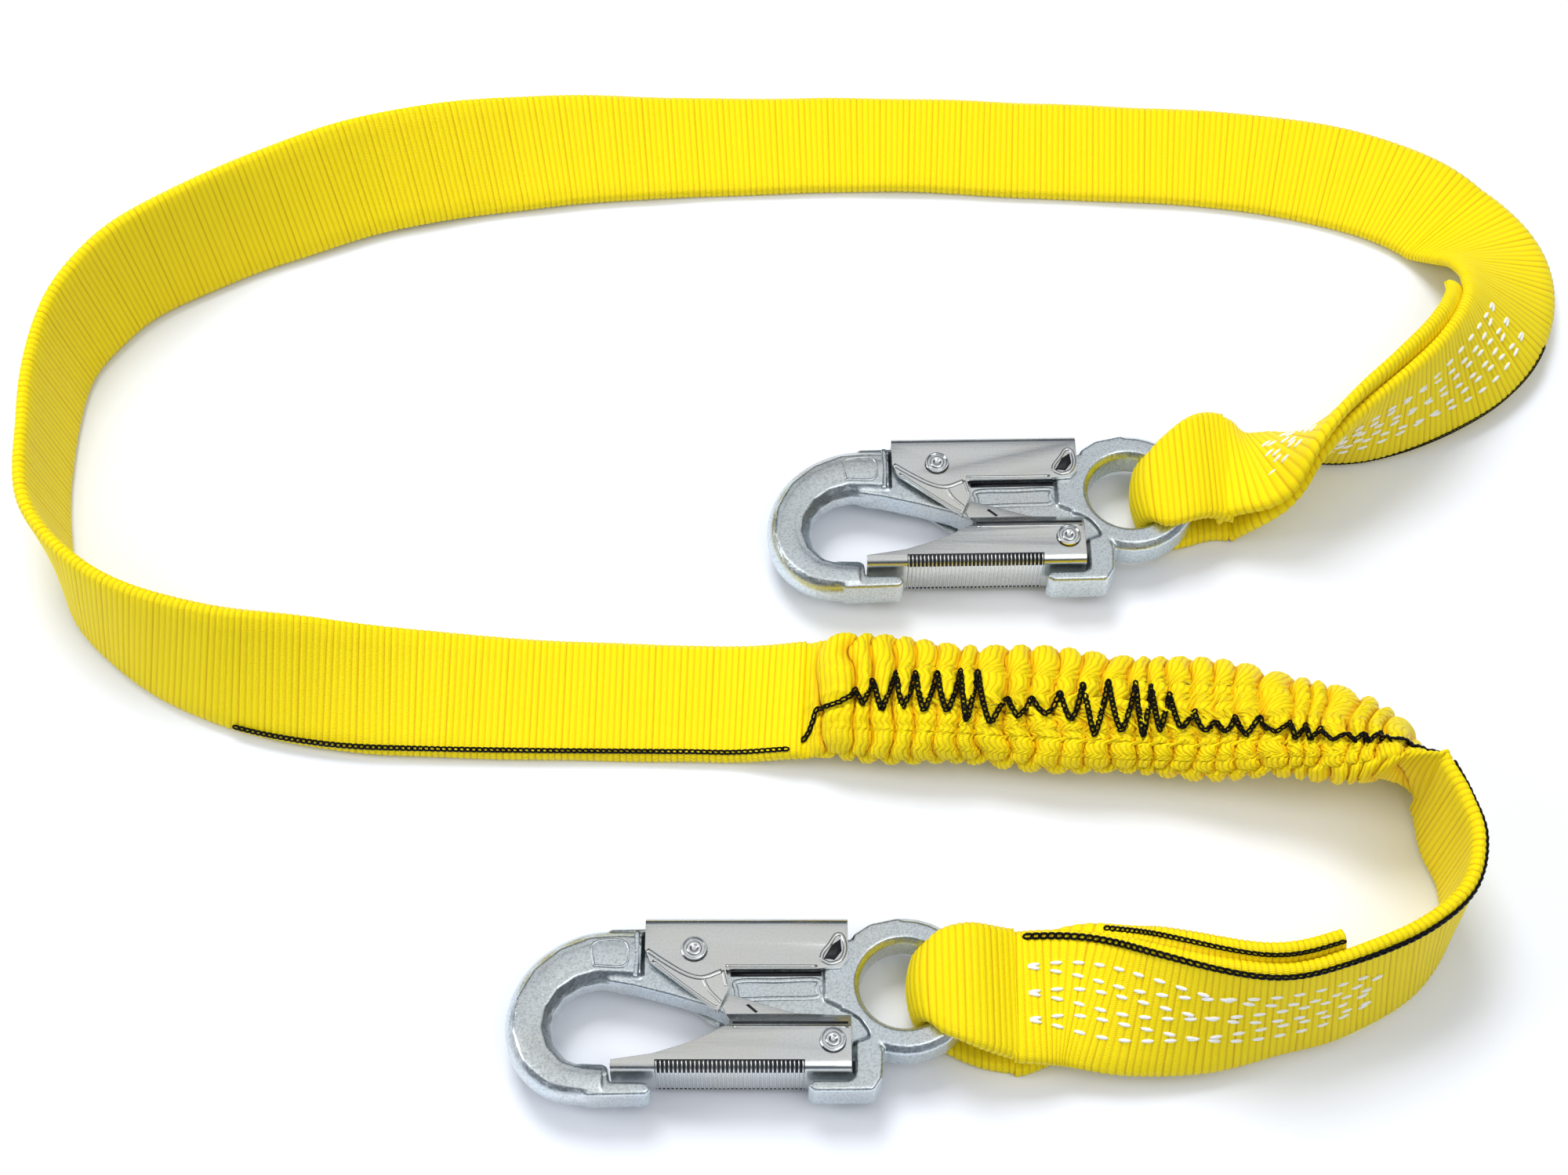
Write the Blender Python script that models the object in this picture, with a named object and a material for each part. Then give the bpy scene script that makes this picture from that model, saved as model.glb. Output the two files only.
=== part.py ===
"""Shock-absorbing safety lanyard: a webbing leg with a gathered shock pack and two double-locking snap hooks.

Lengths are written in millimetres and turned into metres by MM. Z is up and the lanyard lies on Z = 0.
A hook is drawn in its own frame: X runs from the bend to the eye, Y from the gate to the lock lever,
Z = 0 is the middle of its thickness, and Y = 0 passes through the gate's rivet.
"""
import math

import bmesh
import bpy
from mathutils import Matrix, Vector

MM = 0.001
GAP = 0.3                                  # clearance kept between touching pieces
THREAD_GAP = 0.65                           # threads ride a little higher over the webbing's facets

# webbing
WIDTH = 44.0                               # tubular webbing, pressed flat
THICK = 4.2
LOOP_THICK = 3.8                           # the loop through an eye is drawn a little thinner
TAIL_SHIFT = 4.0                           # how far a folded-back tail sits to one side
LAYER = THICK + 3.0 * GAP                  # distance from layer to layer in a sewn lap
PACK_WIDTH = 46.0                          # gathered shock pack
PACK_THICK = 20.0
PACK_WALL = 3.0
PACK_BULGE = 1.2                           # how far each gather stands out
CORE_WIDTH = 37.0                          # energy-absorbing core inside the pack
CORE_THICK = 11.0

# snap hook
HOOK_Z = 11.6                              # height of a hook's middle plane over the floor
HOOK_A_PLACE = (-86.3, 339.2, 0.0)         # x, y and turn in degrees of each hook's frame
HOOK_B_PLACE = (-3.1, 522.6, 1.0)
PLATE_HALF = 5.0                           # half thickness of the body's plain middle
THICK_HALF = 6.7                           # half thickness of the eye, the heel and the nose
BEND_HALF = 7.0                            # half thickness of the round bend
SHEET = 1.4                                # pressed sheet of the gate and the lever
EAR_IN = 5.3                               # inner face of the gate's ear, from the middle plane
LEVER_IN = 7.0                             # inner face of the lever's cheeks
GATE_IN = 8.7                              # inner face of the gate's cheeks
GATE_PIVOT = (101.8, 0.0)
LEVER_PIVOT = (57.5, 31.5)
RIVET_R = 3.0
RIVET_HEAD_R = 4.2
RIVET_HEAD = 1.2
EYE = (124.9, 20.6)
EYE_IN = 14.6
EYE_OUT = 23.5
EYE_STEPS = 32
SPRING_R = 4.4
SPRING_WIRE = 0.6
POCKET_R = 6.0
POCKET_HALF = 2.3
ROUND_STEPS = 16                           # sides of rivets and their holes

# the lanyard's layout on the floor, before it is centred
LAYOUT_CENTRE = (8.75, 527.69)

STITCH_ROWS = (8.0, -1.0, -10.0)           # offsets of the lap stitching's rows from the middle line
STITCH_SWAY = 2.4                          # how far a row wanders to each side
STITCH = (1.2, 0.6)                        # width and height of the lap stitching's thread
SEAM = (2.4, 0.9)                          # width and height of the black chain seam
SEAM_INSET = 3.0                           # from the webbing's edge to the seam's middle
TAIL_CLOSE = 22.0                          # length over which a tail closes on its main layer

# x, y, roll in degrees and extra lift of the webbing's middle line, from hook A's loop to the pack
LOWER_ROUTE = [
    (74.4, 356.4, 0.0, 12.6), (92.0, 355.9, 12.0, 8.0), (112.0, 350.2, 38.0, 5.2), (135.0, 346.6, 58.0, 3.6),
    (156.0, 348.0, 73.0, 2.2), (177.0, 353.6, 75.0, 1.6), (201.0, 366.0, 81.0, 1.0), (216.0, 382.4, 90.0, 0.4),
    (220.0, 399.6, 95.0, 0.2), (216.6, 413.6, 97.0, 0.4), (213.4, 425.8, 92.0, 1.2),
]
PACK_ROUTE = [
    (212.8, 427.2, 91.0, 0.4), (204.6, 436.6, 60.0, 0.3), (188.0, 446.2, 34.0, 0.3), (161.0, 454.0, 18.0, 0.3),
    (133.0, 457.6, 9.0, 0.3), (80.0, 462.0, 6.0, 0.3), (27.0, 466.4, 3.0, 0.3), (5.4, 467.6, 0.0, 0.3),
]
# from the pack round the left bend, along the far side and back to hook B's loop
UPPER_ROUTE = [
    (3.4, 467.7, 0.0, 5.0), (-16.0, 468.6, 0.0, 0.6), (-40.0, 469.2, 0.0, 0.0), (-80.0, 469.6, -3.0, 0.0),
    (-121.0, 470.2, -13.0, 0.0), (-155.0, 470.6, -30.0, 0.0), (-190.0, 474.0, -55.0, 0.0),
    (-219.0, 484.6, -72.0, 0.0), (-243.0, 503.0, -84.0, 0.0), (-256.4, 528.4, -99.0, 0.0),
    (-260.6, 560.0, -101.0, 0.0), (-260.8, 586.6, -102.0, 0.0), (-257.2, 607.6, -103.0, 0.0),
    (-248.6, 624.0, -107.0, 0.0), (-236.0, 639.0, -112.0, 0.0), (-215.6, 653.4, -117.0, 0.0),
    (-186.4, 670.0, -125.0, 0.0), (-146.0, 688.0, -139.0, 0.0), (-90.0, 702.6, -161.0, 0.0),
    (-30.0, 709.0, -177.0, 0.0), (30.0, 711.2, -180.0, 0.0), (90.0, 708.6, -180.0, 0.0),
    (150.0, 705.0, -179.0, 0.0), (188.0, 699.6, -177.0, 0.0), (221.0, 690.0, -175.0, 0.0),
    (245.0, 675.6, -178.0, 1.0), (260.0, 657.0, -191.0, 3.0), (264.4, 637.0, -206.0, 4.2),
    (260.8, 617.0, -220.0, 4.0), (251.4, 601.0, -233.0, 3.8), (238.0, 587.6, -246.0, 3.2),
    (221.0, 575.8, -259.0, 2.2), (204.0, 567.4, -274.0, 0.6), (190.0, 562.0, -292.0, 0.0),
    (180.0, 559.2, -314.0, 0.0), (170.0, 556.8, -341.0, 0.0), (157.6, 556.4, -360.0, -0.1),
]
TAIL_LENGTH_A = 108.0
TAIL_LENGTH_B = 134.0
TWIST_STEP = 5.0                           # the most degrees of roll between two sections

# side view of a webbing loop through an eye, in the hook's frame: x, z, half width
LOOP_SIDE = [
    (160.0, -9.3, 22.0), (148.0, -9.3, 20.4), (138.4, -9.3, 17.4), (132.0, -8.8, 13.6), (128.6, -5.0, 12.0),
    (127.6, 0.0, 11.6), (128.4, 5.0, 12.0), (131.6, 9.2, 13.8), (137.4, 10.6, 17.8), (147.0, 10.0, 20.8),
    (160.0, 3.4, 22.0),
]
LOOP_SHIFT = {HOOK_A_PLACE: -2.4, HOOK_B_PLACE: 10.4}   # sideways drift of each loop on its way to the lap


# ---------------------------------------------------------------- materials
def make_material(name, colour, roughness, metallic=0.0):
    material = bpy.data.materials.new(name)
    material.use_nodes = True
    shader = material.node_tree.nodes["Principled BSDF"]
    shader.inputs["Base Color"].default_value = (*colour, 1.0)
    shader.inputs["Roughness"].default_value = roughness
    shader.inputs["Metallic"].default_value = metallic
    material.diffuse_color = (*colour, 1.0)
    return material


# ---------------------------------------------------------------- mesh helpers
def remove_object(obj):
    mesh = obj.data
    bpy.data.objects.remove(obj)
    if mesh.users == 0:
        bpy.data.meshes.remove(mesh)


def mesh_object(name, bm):
    """Makes an object from a bmesh in millimetres, and frees the bmesh."""
    bmesh.ops.scale(bm, vec=(MM, MM, MM), verts=bm.verts)
    bmesh.ops.recalc_face_normals(bm, faces=bm.faces)
    mesh = bpy.data.meshes.new(name)
    bm.to_mesh(mesh)
    bm.free()
    obj = bpy.data.objects.new(name, mesh)
    bpy.context.collection.objects.link(obj)
    return obj


def prism(outline, low, high, name="tool"):
    """A closed outline of (x, y) points, extruded from z = low to z = high."""
    bm = bmesh.new()
    face = bm.faces.new([bm.verts.new((x, y, low)) for x, y in outline])
    grown = bmesh.ops.extrude_face_region(bm, geom=[face])
    top = [item for item in grown["geom"] if isinstance(item, bmesh.types.BMVert)]
    bmesh.ops.translate(bm, vec=(0.0, 0.0, high - low), verts=top)
    return mesh_object(name, bm)


def profile_bar(profile, x_low, x_high, name="tool"):
    """A closed profile of (y, z) points, extruded along x."""
    bm = bmesh.new()
    face = bm.faces.new([bm.verts.new((x_low, y, z)) for y, z in profile])
    grown = bmesh.ops.extrude_face_region(bm, geom=[face])
    far = [item for item in grown["geom"] if isinstance(item, bmesh.types.BMVert)]
    bmesh.ops.translate(bm, vec=(x_high - x_low, 0.0, 0.0), verts=far)
    return mesh_object(name, bm)


def loft(rings, name="tool", inner=None):
    """Skins a row of equal rings. With inner rings it is an open-ended tube, without them a solid with end caps."""
    bm = bmesh.new()

    def skin(rows):
        made = [[bm.verts.new(point) for point in row] for row in rows]
        for near, far in zip(made, made[1:]):
            for i in range(len(near)):
                j = (i + 1) % len(near)
                bm.faces.new((near[i], near[j], far[j], far[i]))
        return made

    outer = skin(rings)
    if inner is None:
        bm.faces.new(outer[0])
        bm.faces.new(outer[-1])
    else:
        core = skin(inner)
        for a, b in ((outer[0], core[0]), (outer[-1], core[-1])):
            for i in range(len(a)):
                j = (i + 1) % len(a)
                bm.faces.new((a[i], a[j], b[j], b[i]))
    return mesh_object(name, bm)


def lathe(profile, centre, steps, name="tool"):
    """Turns a closed (radius, z) profile about the z axis through centre."""
    rings = []
    for k in range(steps):
        angle = math.tau * k / steps
        c, s = math.cos(angle), math.sin(angle)
        rings.append([Vector((centre[0] + r * c, centre[1] + r * s, z)) for r, z in profile])
    bm = bmesh.new()
    made = [[bm.verts.new(point) for point in ring] for ring in rings]
    for k in range(steps):
        near, far = made[k], made[(k + 1) % steps]
        for i in range(len(profile)):
            j = (i + 1) % len(profile)
            bm.faces.new((near[i], near[j], far[j], far[i]))
    return mesh_object(name, bm)


def disc(centre, radius, low, high, steps=ROUND_STEPS, name="tool"):
    return prism([polar(centre, radius, 360.0 * k / steps) for k in range(steps)], low, high, name)


def polar(centre, radius, degrees):
    angle = math.radians(degrees)
    return (centre[0] + radius * math.cos(angle), centre[1] + radius * math.sin(angle))


def arc(centre, radius, start, end, steps):
    return [polar(centre, radius, start + (end - start) * k / steps) for k in range(steps + 1)]


def combine(target, tool, operation):
    """Runs one exact Boolean on target and throws the tool away."""
    tool.hide_render = True
    tool.display_type = 'WIRE'
    modifier = target.modifiers.new(operation.lower(), 'BOOLEAN')
    modifier.operation = operation
    modifier.solver = 'EXACT'
    modifier.object = tool
    apply_modifiers(target)
    remove_object(tool)
    return target


def apply_modifiers(obj):
    graph = bpy.context.evaluated_depsgraph_get()
    mesh = bpy.data.meshes.new_from_object(obj.evaluated_get(graph))
    old = obj.data
    obj.modifiers.clear()
    obj.data = mesh
    bpy.data.meshes.remove(old)


def bevel(obj, width, segments=1, angle=40.0):
    modifier = obj.modifiers.new("bevel", 'BEVEL')
    modifier.width = width * MM
    modifier.segments = segments
    modifier.limit_method = 'ANGLE'
    modifier.angle_limit = math.radians(angle)
    apply_modifiers(obj)
    return obj


# ---------------------------------------------------------------- snap hook
def hook_body_mesh():
    """The forged body: round bend, nose, plain middle, thick eye and heel."""
    middle = [(30.0, 22.0), (38.0, 20.6), (50.0, 17.4), (62.0, 13.6), (68.0, 10.4), (80.0, 3.8), (94.6, -1.6)]
    middle += arc(GATE_PIVOT, 7.6, 195.0, 315.0, 8)
    middle += [(112.0, -4.0), (122.0, 10.0), (122.0, 36.0), (106.0, 34.6), (62.0, 40.8), (30.0, 40.0)]
    body = prism(middle, -PLATE_HALF, PLATE_HALF, "hook_body")
    bevel(body, 1.0)

    eye_profile = [(EYE_IN, -4.6), (EYE_IN + 1.6, -THICK_HALF), (EYE_OUT - 2.2, -THICK_HALF), (EYE_OUT, -4.4),
                   (EYE_OUT, 4.4), (EYE_OUT - 2.2, THICK_HALF), (EYE_IN + 1.6, THICK_HALF), (EYE_IN, 4.6)]
    eye_hole = disc(EYE, EYE_IN + 3.0, -20.0, 20.0, EYE_STEPS)
    shoulder = [(99.0, 15.0), (113.2, 8.4), (113.8, 2.0), (124.0, -1.6), (131.0, 12.0), (131.0, 30.0),
                (124.0, 43.6), (114.0, 41.4), (108.4, 37.6), (108.4, 36.0), (99.0, 35.0)]
    thick = prism(shoulder, -THICK_HALF, THICK_HALF)
    bevel(thick, 1.2)
    combine(thick, disc(GATE_PIVOT, 12.3, PLATE_HALF, 20.0), 'DIFFERENCE')
    combine(thick, disc(GATE_PIVOT, 12.3, -20.0, -PLATE_HALF), 'DIFFERENCE')
    combine(body, thick, 'UNION')
    combine(body, eye_hole, 'DIFFERENCE')
    ring = lathe(eye_profile, EYE, EYE_STEPS)
    combine(ring, disc(GATE_PIVOT, 12.3, PLATE_HALF, 20.0), 'DIFFERENCE')
    combine(ring, disc(GATE_PIVOT, 12.3, -20.0, -PLATE_HALF), 'DIFFERENCE')
    combine(body, ring, 'UNION')

    heel = [(108.6, 1.0), (115.4, 3.4), (118.0, -2.0), (117.4, -11.0), (114.6, -15.4), (96.0, -15.6), (93.2, -13.8),
            (95.4, -12.0), (106.6, -12.0), (108.6, -10.6)]
    combine(body, bevel(prism(heel, -THICK_HALF, THICK_HALF), 0.8), 'UNION')

    combine(body, hook_bend(), 'UNION')
    nose = [(21.0, -6.0), (29.8, -6.4), (31.0, -8.0), (31.0, -12.2), (42.0, -12.4), (44.4, -13.6), (44.6, -15.4),
            (42.6, -16.6), (24.0, -17.0), (17.0, -12.0)]
    combine(body, bevel(prism(nose, -THICK_HALF + 0.4, THICK_HALF - 0.4), 0.8), 'UNION')

    for low, high in ((PLATE_HALF - 0.5, 9.0), (-9.0, 0.5 - PLATE_HALF)):
        panel = [(71.0, 15.2), (97.0, 16.0), (97.0, 22.8), (71.0, 22.0)]
        combine(body, prism(panel, low, high), 'DIFFERENCE')
    for pivot in (GATE_PIVOT, LEVER_PIVOT):
        combine(body, disc(pivot, RIVET_R + GAP, -20.0, 20.0), 'DIFFERENCE')
    gate_pocket = disc(GATE_PIVOT, POCKET_R, -POCKET_HALF, POCKET_HALF)
    gate_mouth = [(96.4, -12.0), (106.4, -12.0), (106.4, 0.0), (96.4, 0.0)]
    combine(gate_pocket, prism(gate_mouth, -POCKET_HALF, POCKET_HALF), 'UNION')
    combine(body, gate_pocket, 'DIFFERENCE')
    lever_pocket = disc(LEVER_PIVOT, POCKET_R, -POCKET_HALF, POCKET_HALF)
    lever_mouth = [(52.0, 31.5), (63.0, 31.5), (63.0, 50.0), (52.0, 50.0)]
    combine(lever_pocket, prism(lever_mouth, -POCKET_HALF, POCKET_HALF), 'UNION')
    combine(body, lever_pocket, 'DIFFERENCE')
    return body


def hook_bend():
    """The round bend from the spine to the nose: (x, y, width) along its middle line."""
    line = [(40.6, 30.4, 19.4), (33.0, 30.8, 19.0), (25.0, 30.6, 18.0), (17.0, 27.6, 16.8), (10.2, 22.0, 15.8),
            (5.8, 14.0, 15.0), (4.8, 5.4, 14.6), (7.6, -3.0, 14.0), (14.2, -9.4, 12.8), (22.6, -11.6, 11.0),
            (29.0, -11.8, 10.0)]
    rings = []
    for k, (x, y, width) in enumerate(line):
        before = line[max(k - 1, 0)]
        after = line[min(k + 1, len(line) - 1)]
        along = Vector((after[0] - before[0], after[1] - before[1], 0.0)).normalized()
        side = Vector((-along.y, along.x, 0.0))
        if k == 0:
            side = Vector((0.0, -1.0, 0.0))
        half = width / 2.0
        shape = [(half, 2.6), (half * 0.62, BEND_HALF), (-half * 0.62, BEND_HALF), (-half, 2.6),
                 (-half, -2.6), (-half * 0.62, -BEND_HALF), (half * 0.62, -BEND_HALF), (half, -2.6)]
        rings.append([Vector((x, y, 0.0)) + side * a + Vector((0.0, 0.0, b)) for a, b in shape])
    return loft(rings)


def channel_profile(open_y, inner, outer, web_out, steps=3, bend=3.0):
    """A U channel's (y, z) profile, with its web at web_out and its cheeks ending at open_y."""
    sign = 1.0 if web_out > open_y else -1.0
    web_in = web_out - sign * (outer - inner)
    small = bend - (outer - inner)

    def corner(radius, y_face, z_face, z_sign, start, end):
        points = []
        for k in range(steps + 1):
            angle = math.radians(start + (end - start) * k / steps)
            y = y_face - sign * radius + sign * radius * math.sin(angle)
            z = z_sign * (z_face - radius + radius * math.cos(angle))
            points.append((y, z))
        return points

    outline = [(open_y, outer)]
    outline += corner(bend, web_out, outer, 1.0, 0.0, 90.0)
    outline += corner(bend, web_out, outer, -1.0, 90.0, 0.0)
    outline += [(open_y, -outer), (open_y, -inner)]
    outline += corner(small, web_in, inner, -1.0, 0.0, 90.0)
    outline += corner(small, web_in, inner, 1.0, 90.0, 0.0)
    outline += [(open_y, inner)]
    return outline


def gate_mesh():
    """The gate: a channel folded from sheet, with stepped cheeks and an ear that the lever's pawl blocks."""
    gate_out = GATE_IN + SHEET
    ear_out = EAR_IN + SHEET
    channel = channel_profile(4.6, GATE_IN, gate_out, -9.8)
    step_out = [(10.0, -ear_out), (18.0, -ear_out), (18.0, -EAR_IN), (9.4, -EAR_IN)]
    lower_edge = channel.index((4.6, -gate_out))
    profile = channel[:lower_edge + 1] + step_out
    profile += [(4.0, -GATE_IN)] + channel[lower_edge + 2:-1]
    profile += [(4.0, GATE_IN), (9.4, EAR_IN), (18.0, EAR_IN), (18.0, ear_out), (10.0, ear_out)]
    gate = profile_bar(profile, 31.6, 107.6, "gate")
    outline = [(31.6, -14.0), (31.6, -6.5), (36.0, -5.8), (45.0, -4.4), (55.0, -1.2), (62.0, 1.8), (68.8, 5.6),
               (69.0, 7.6), (66.8, 12.4), (68.8, 16.9), (89.7, 10.2), (107.6, 9.6), (107.6, -14.0)]
    combine(gate, prism(outline, -20.0, 20.0), 'INTERSECT')
    combine(gate, disc(GATE_PIVOT, RIVET_R + GAP, -20.0, 20.0), 'DIFFERENCE')
    return gate


def lever_mesh():
    """The lock lever: a channel that straddles the spine, with a pawl tab folded down against the gate's ear."""
    lever_out = LEVER_IN + SHEET
    lever = profile_bar(channel_profile(9.0, LEVER_IN, lever_out, 43.0), 41.7, 106.8, "lever")
    outline = [(41.7, 46.0), (41.7, 31.5), (43.6, 27.0), (62.8, 12.0), (65.4, 10.7), (68.9, 18.6), (67.6, 24.9),
               (96.0, 24.9), (104.4, 25.4), (106.8, 28.2), (106.8, 46.0)]
    combine(lever, prism(outline, -20.0, 20.0), 'INTERSECT')
    thumb = [(99.0, 28.2), (102.6, 28.0), (104.6, 30.6), (104.4, 35.0), (101.6, 33.0)]
    combine(lever, prism(thumb, -20.0, 20.0), 'DIFFERENCE')
    tab = [(65.4, 10.7), (68.9, 18.6), (67.5, 19.0), (64.2, 11.4)]
    for low, high in ((EAR_IN, LEVER_IN + 0.7), (-LEVER_IN - 0.7, -EAR_IN)):
        combine(lever, prism(tab, low, high), 'UNION')
    combine(lever, disc(LEVER_PIVOT, RIVET_R + GAP, -20.0, 20.0), 'DIFFERENCE')
    return lever


def rivet_mesh(pivot, cheek, name):
    """A rivet whose rolled heads stand just clear of a pair of cheeks."""
    seat = cheek + GAP
    top = seat + RIVET_HEAD
    half = [(RIVET_R, seat), (RIVET_HEAD_R, seat), (RIVET_HEAD_R - 0.3, top - 0.4), (RIVET_HEAD_R - 1.0, top),
            (2.2, top), (1.6, top - 0.6)]
    rings = [(r, -z) for r, z in reversed(half)] + half
    turns = [360.0 * k / ROUND_STEPS for k in range(ROUND_STEPS)]
    rows = [[Vector((*polar(pivot, r, turn), z)) for turn in turns] for r, z in rings]
    return loft(rows, name)


def spring_mesh(pivot, first_angle, name):
    """A torsion spring's coil of two and a half turns round a rivet."""
    turns, steps, height = 2.5, 10, 2.8
    total = int(turns * steps)
    rows = []
    for k in range(total + 1):
        angle = math.radians(first_angle) + math.tau * k / steps
        out = Vector((math.cos(angle), math.sin(angle), 0.0))
        centre = Vector((pivot[0], pivot[1], height * (k / total - 0.5))) + out * SPRING_R
        rows.append([centre + out * (SPRING_WIRE * math.cos(a)) + Vector((0.0, 0.0, SPRING_WIRE * math.sin(a)))
                     for a in (0.0, math.pi / 2.0, math.pi, -math.pi / 2.0)])
    return loft(rows, name)


HOOK_PARTS = [
    ("body", hook_body_mesh, "forged_zinc"),
    ("gate", gate_mesh, "pressed_zinc"),
    ("lock_lever", lever_mesh, "pressed_zinc"),
    ("gate_rivet", lambda: rivet_mesh(GATE_PIVOT, GATE_IN + SHEET, "gate_rivet"), "rivet_steel"),
    ("lock_rivet", lambda: rivet_mesh(LEVER_PIVOT, LEVER_IN + SHEET, "lock_rivet"), "rivet_steel"),
    ("gate_spring", lambda: spring_mesh(GATE_PIVOT, 30.0, "gate_spring"), "spring_steel"),
    ("lock_spring", lambda: spring_mesh(LEVER_PIVOT, 210.0, "lock_spring"), "spring_steel"),
]
PART_PIVOTS = {"gate": GATE_PIVOT, "lock_lever": LEVER_PIVOT}


def hook_matrix(place):
    """The hook frame's matrix in metres."""
    x, y, turn = place
    spot = Vector(((x - LAYOUT_CENTRE[0]) * MM, (y - LAYOUT_CENTRE[1]) * MM, HOOK_Z * MM))
    return Matrix.Translation(spot) @ Matrix.Rotation(math.radians(turn), 4, 'Z')


def add_hooks(materials):
    """Both hooks share their meshes. A gate's and a lever's origin stand on their rivets' axes."""
    empties = []
    for letter, place in (("a", HOOK_A_PLACE), ("b", HOOK_B_PLACE)):
        empty = bpy.data.objects.new("hook_" + letter + "_frame", None)
        bpy.context.collection.objects.link(empty)
        empty.matrix_world = hook_matrix(place)
        empties.append((letter, empty))
    for part, build, material in HOOK_PARTS:
        made = build()
        mesh = made.data
        pivot = Vector((*PART_PIVOTS.get(part, (0.0, 0.0)), 0.0)) * MM
        mesh.transform(Matrix.Translation(-pivot))
        mesh.materials.clear()
        mesh.materials.append(materials[material])
        mesh.shade_smooth()
        mesh.set_sharp_from_angle(angle=math.radians(35.0))
        for letter, empty in empties:
            obj = bpy.data.objects.new("hook_" + letter + "_" + part, mesh)
            bpy.context.collection.objects.link(obj)
            obj.parent = empty
            obj.location = pivot
        bpy.data.objects.remove(made)


# ---------------------------------------------------------------- webbing
def catmull_rom(points, spacing):
    """Reads a smooth curve through points of any dimension, about every spacing along its first two."""
    ends = [[2.0 * a - b for a, b in zip(points[0], points[1])], [2.0 * a - b for a, b in zip(points[-1], points[-2])]]
    stations = [ends[0]] + [list(p) for p in points] + [ends[1]]
    samples = []
    for k in range(1, len(stations) - 2):
        p0, p1, p2, p3 = stations[k - 1:k + 3]
        twist = abs(p2[2] - p1[2]) / TWIST_STEP if len(p1) > 3 else 0.0
        steps = max(1, round(math.dist(p1[:2], p2[:2]) / spacing), math.ceil(twist))
        for i in range(steps):
            t = i / steps
            samples.append([0.5 * (2 * b + (c - a) * t + (2 * a - 5 * b + 4 * c - d) * t ** 2
                                   + (3 * b - a - 3 * c + d) * t ** 3)
                            for a, b, c, d in zip(p0, p1, p2, p3)])
    samples.append(list(points[-1]))
    return samples


class Strip:
    """A webbing's middle line, with the directions across it and out of its face at each sample."""

    def __init__(self, route, width, thick, spacing):
        rows = catmull_rom(route, spacing)
        self.centre, self.across, self.face, self.run = [], [], [], []
        for k, (x, y, roll, lift) in enumerate(rows):
            before, after = rows[max(k - 1, 0)], rows[min(k + 1, len(rows) - 1)]
            along = Vector((after[0] - before[0], after[1] - before[1], 0.0)).normalized()
            left = Vector((-along.y, along.x, 0.0))
            turn = math.radians(roll)
            across = left * math.cos(turn) + Vector((0.0, 0.0, math.sin(turn)))
            height = (width * abs(math.sin(turn)) + thick * abs(math.cos(turn))) / 2.0 + GAP + lift
            self.centre.append(Vector((x - LAYOUT_CENTRE[0], y - LAYOUT_CENTRE[1], height)))
            self.across.append(across)
            self.face.append(along.cross(across))
        self.run = [0.0]
        for a, b in zip(self.centre, self.centre[1:]):
            self.run.append(self.run[-1] + (b - a).length)

    def at(self, run):
        """Centre, across and face at a distance along the line."""
        k = 0
        while k < len(self.run) - 2 and self.run[k + 1] < run:
            k += 1
        t = (run - self.run[k]) / (self.run[k + 1] - self.run[k])
        mixed = [row[k].lerp(row[k + 1], t) for row in (self.centre, self.across, self.face)]
        return mixed[0], mixed[1].normalized(), mixed[2].normalized()

    def between(self, start, end):
        """The line's own sample distances from start to end, so that what follows them meets the same facets."""
        return [s for s in self.run if start <= s <= end]

    def rings(self, shape, scale=None):
        made = []
        for k in range(len(self.centre)):
            grow = scale(k) if scale else 1.0
            made.append([self.centre[k] + self.across[k] * a * grow + self.face[k] * b * grow for a, b in shape])
        return made


def flat_section(width, thick):
    """A section of pressed-flat tubular webbing, with three columns across each face so that it can twist."""
    half, side = width / 2.0, thick / 2.0
    inner = half - thick * 0.4
    top = [(half, side * 0.4), (inner, side), (inner / 3.0, side), (-inner / 3.0, side), (-inner, side),
           (-half, side * 0.4)]
    return top + [(a, -b) for a, b in reversed(top)]


def round_section(width, thick, steps=16):
    """A flattened oval section."""
    points = []
    for k in range(steps):
        angle = math.tau * k / steps
        c, s = math.cos(angle), math.sin(angle)
        points.append((width / 2.0 * math.copysign(abs(c) ** 0.75, c), thick / 2.0 * math.copysign(abs(s) ** 0.8, s)))
    return points


def finish(obj, name, material, smooth=50.0):
    obj.name = name
    obj.data.name = name
    obj.data.materials.clear()
    obj.data.materials.append(material)
    obj.data.shade_smooth()
    obj.data.set_sharp_from_angle(angle=math.radians(smooth))
    return obj


def add_tail(strip, from_end, side, length, name, material):
    """The folded-back layer of a sewn lap: it closes on the main layer over the first stretch."""
    rings = []
    total = strip.run[-1]
    for run in strip.between(total - length, total) if from_end else strip.between(0.0, length):
        s = total - run if from_end else run
        centre, across, face = strip.at(run)
        close = min(1.0, s / TAIL_CLOSE)
        ease = close * close * (3.0 - 2.0 * close)
        lift = LAYER * ease + (1.0 - ease) * LOOP_OPENING
        middle = centre + face * side * lift + across * (TAIL_SHIFT * ease)
        rings.append([middle + across * a + face * b for a, b in flat_section(WIDTH, THICK)])
    return finish(loft(rings), name, material)


LOOP_OPENING = LOOP_SIDE[-1][1] - LOOP_SIDE[0][1]     # between a loop's two layers where it meets the lap


def ease_in(value):
    """A smooth step from 0 to 1."""
    value = min(max(value, 0.0), 1.0)
    return value * value * (3.0 - 2.0 * value)


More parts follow.
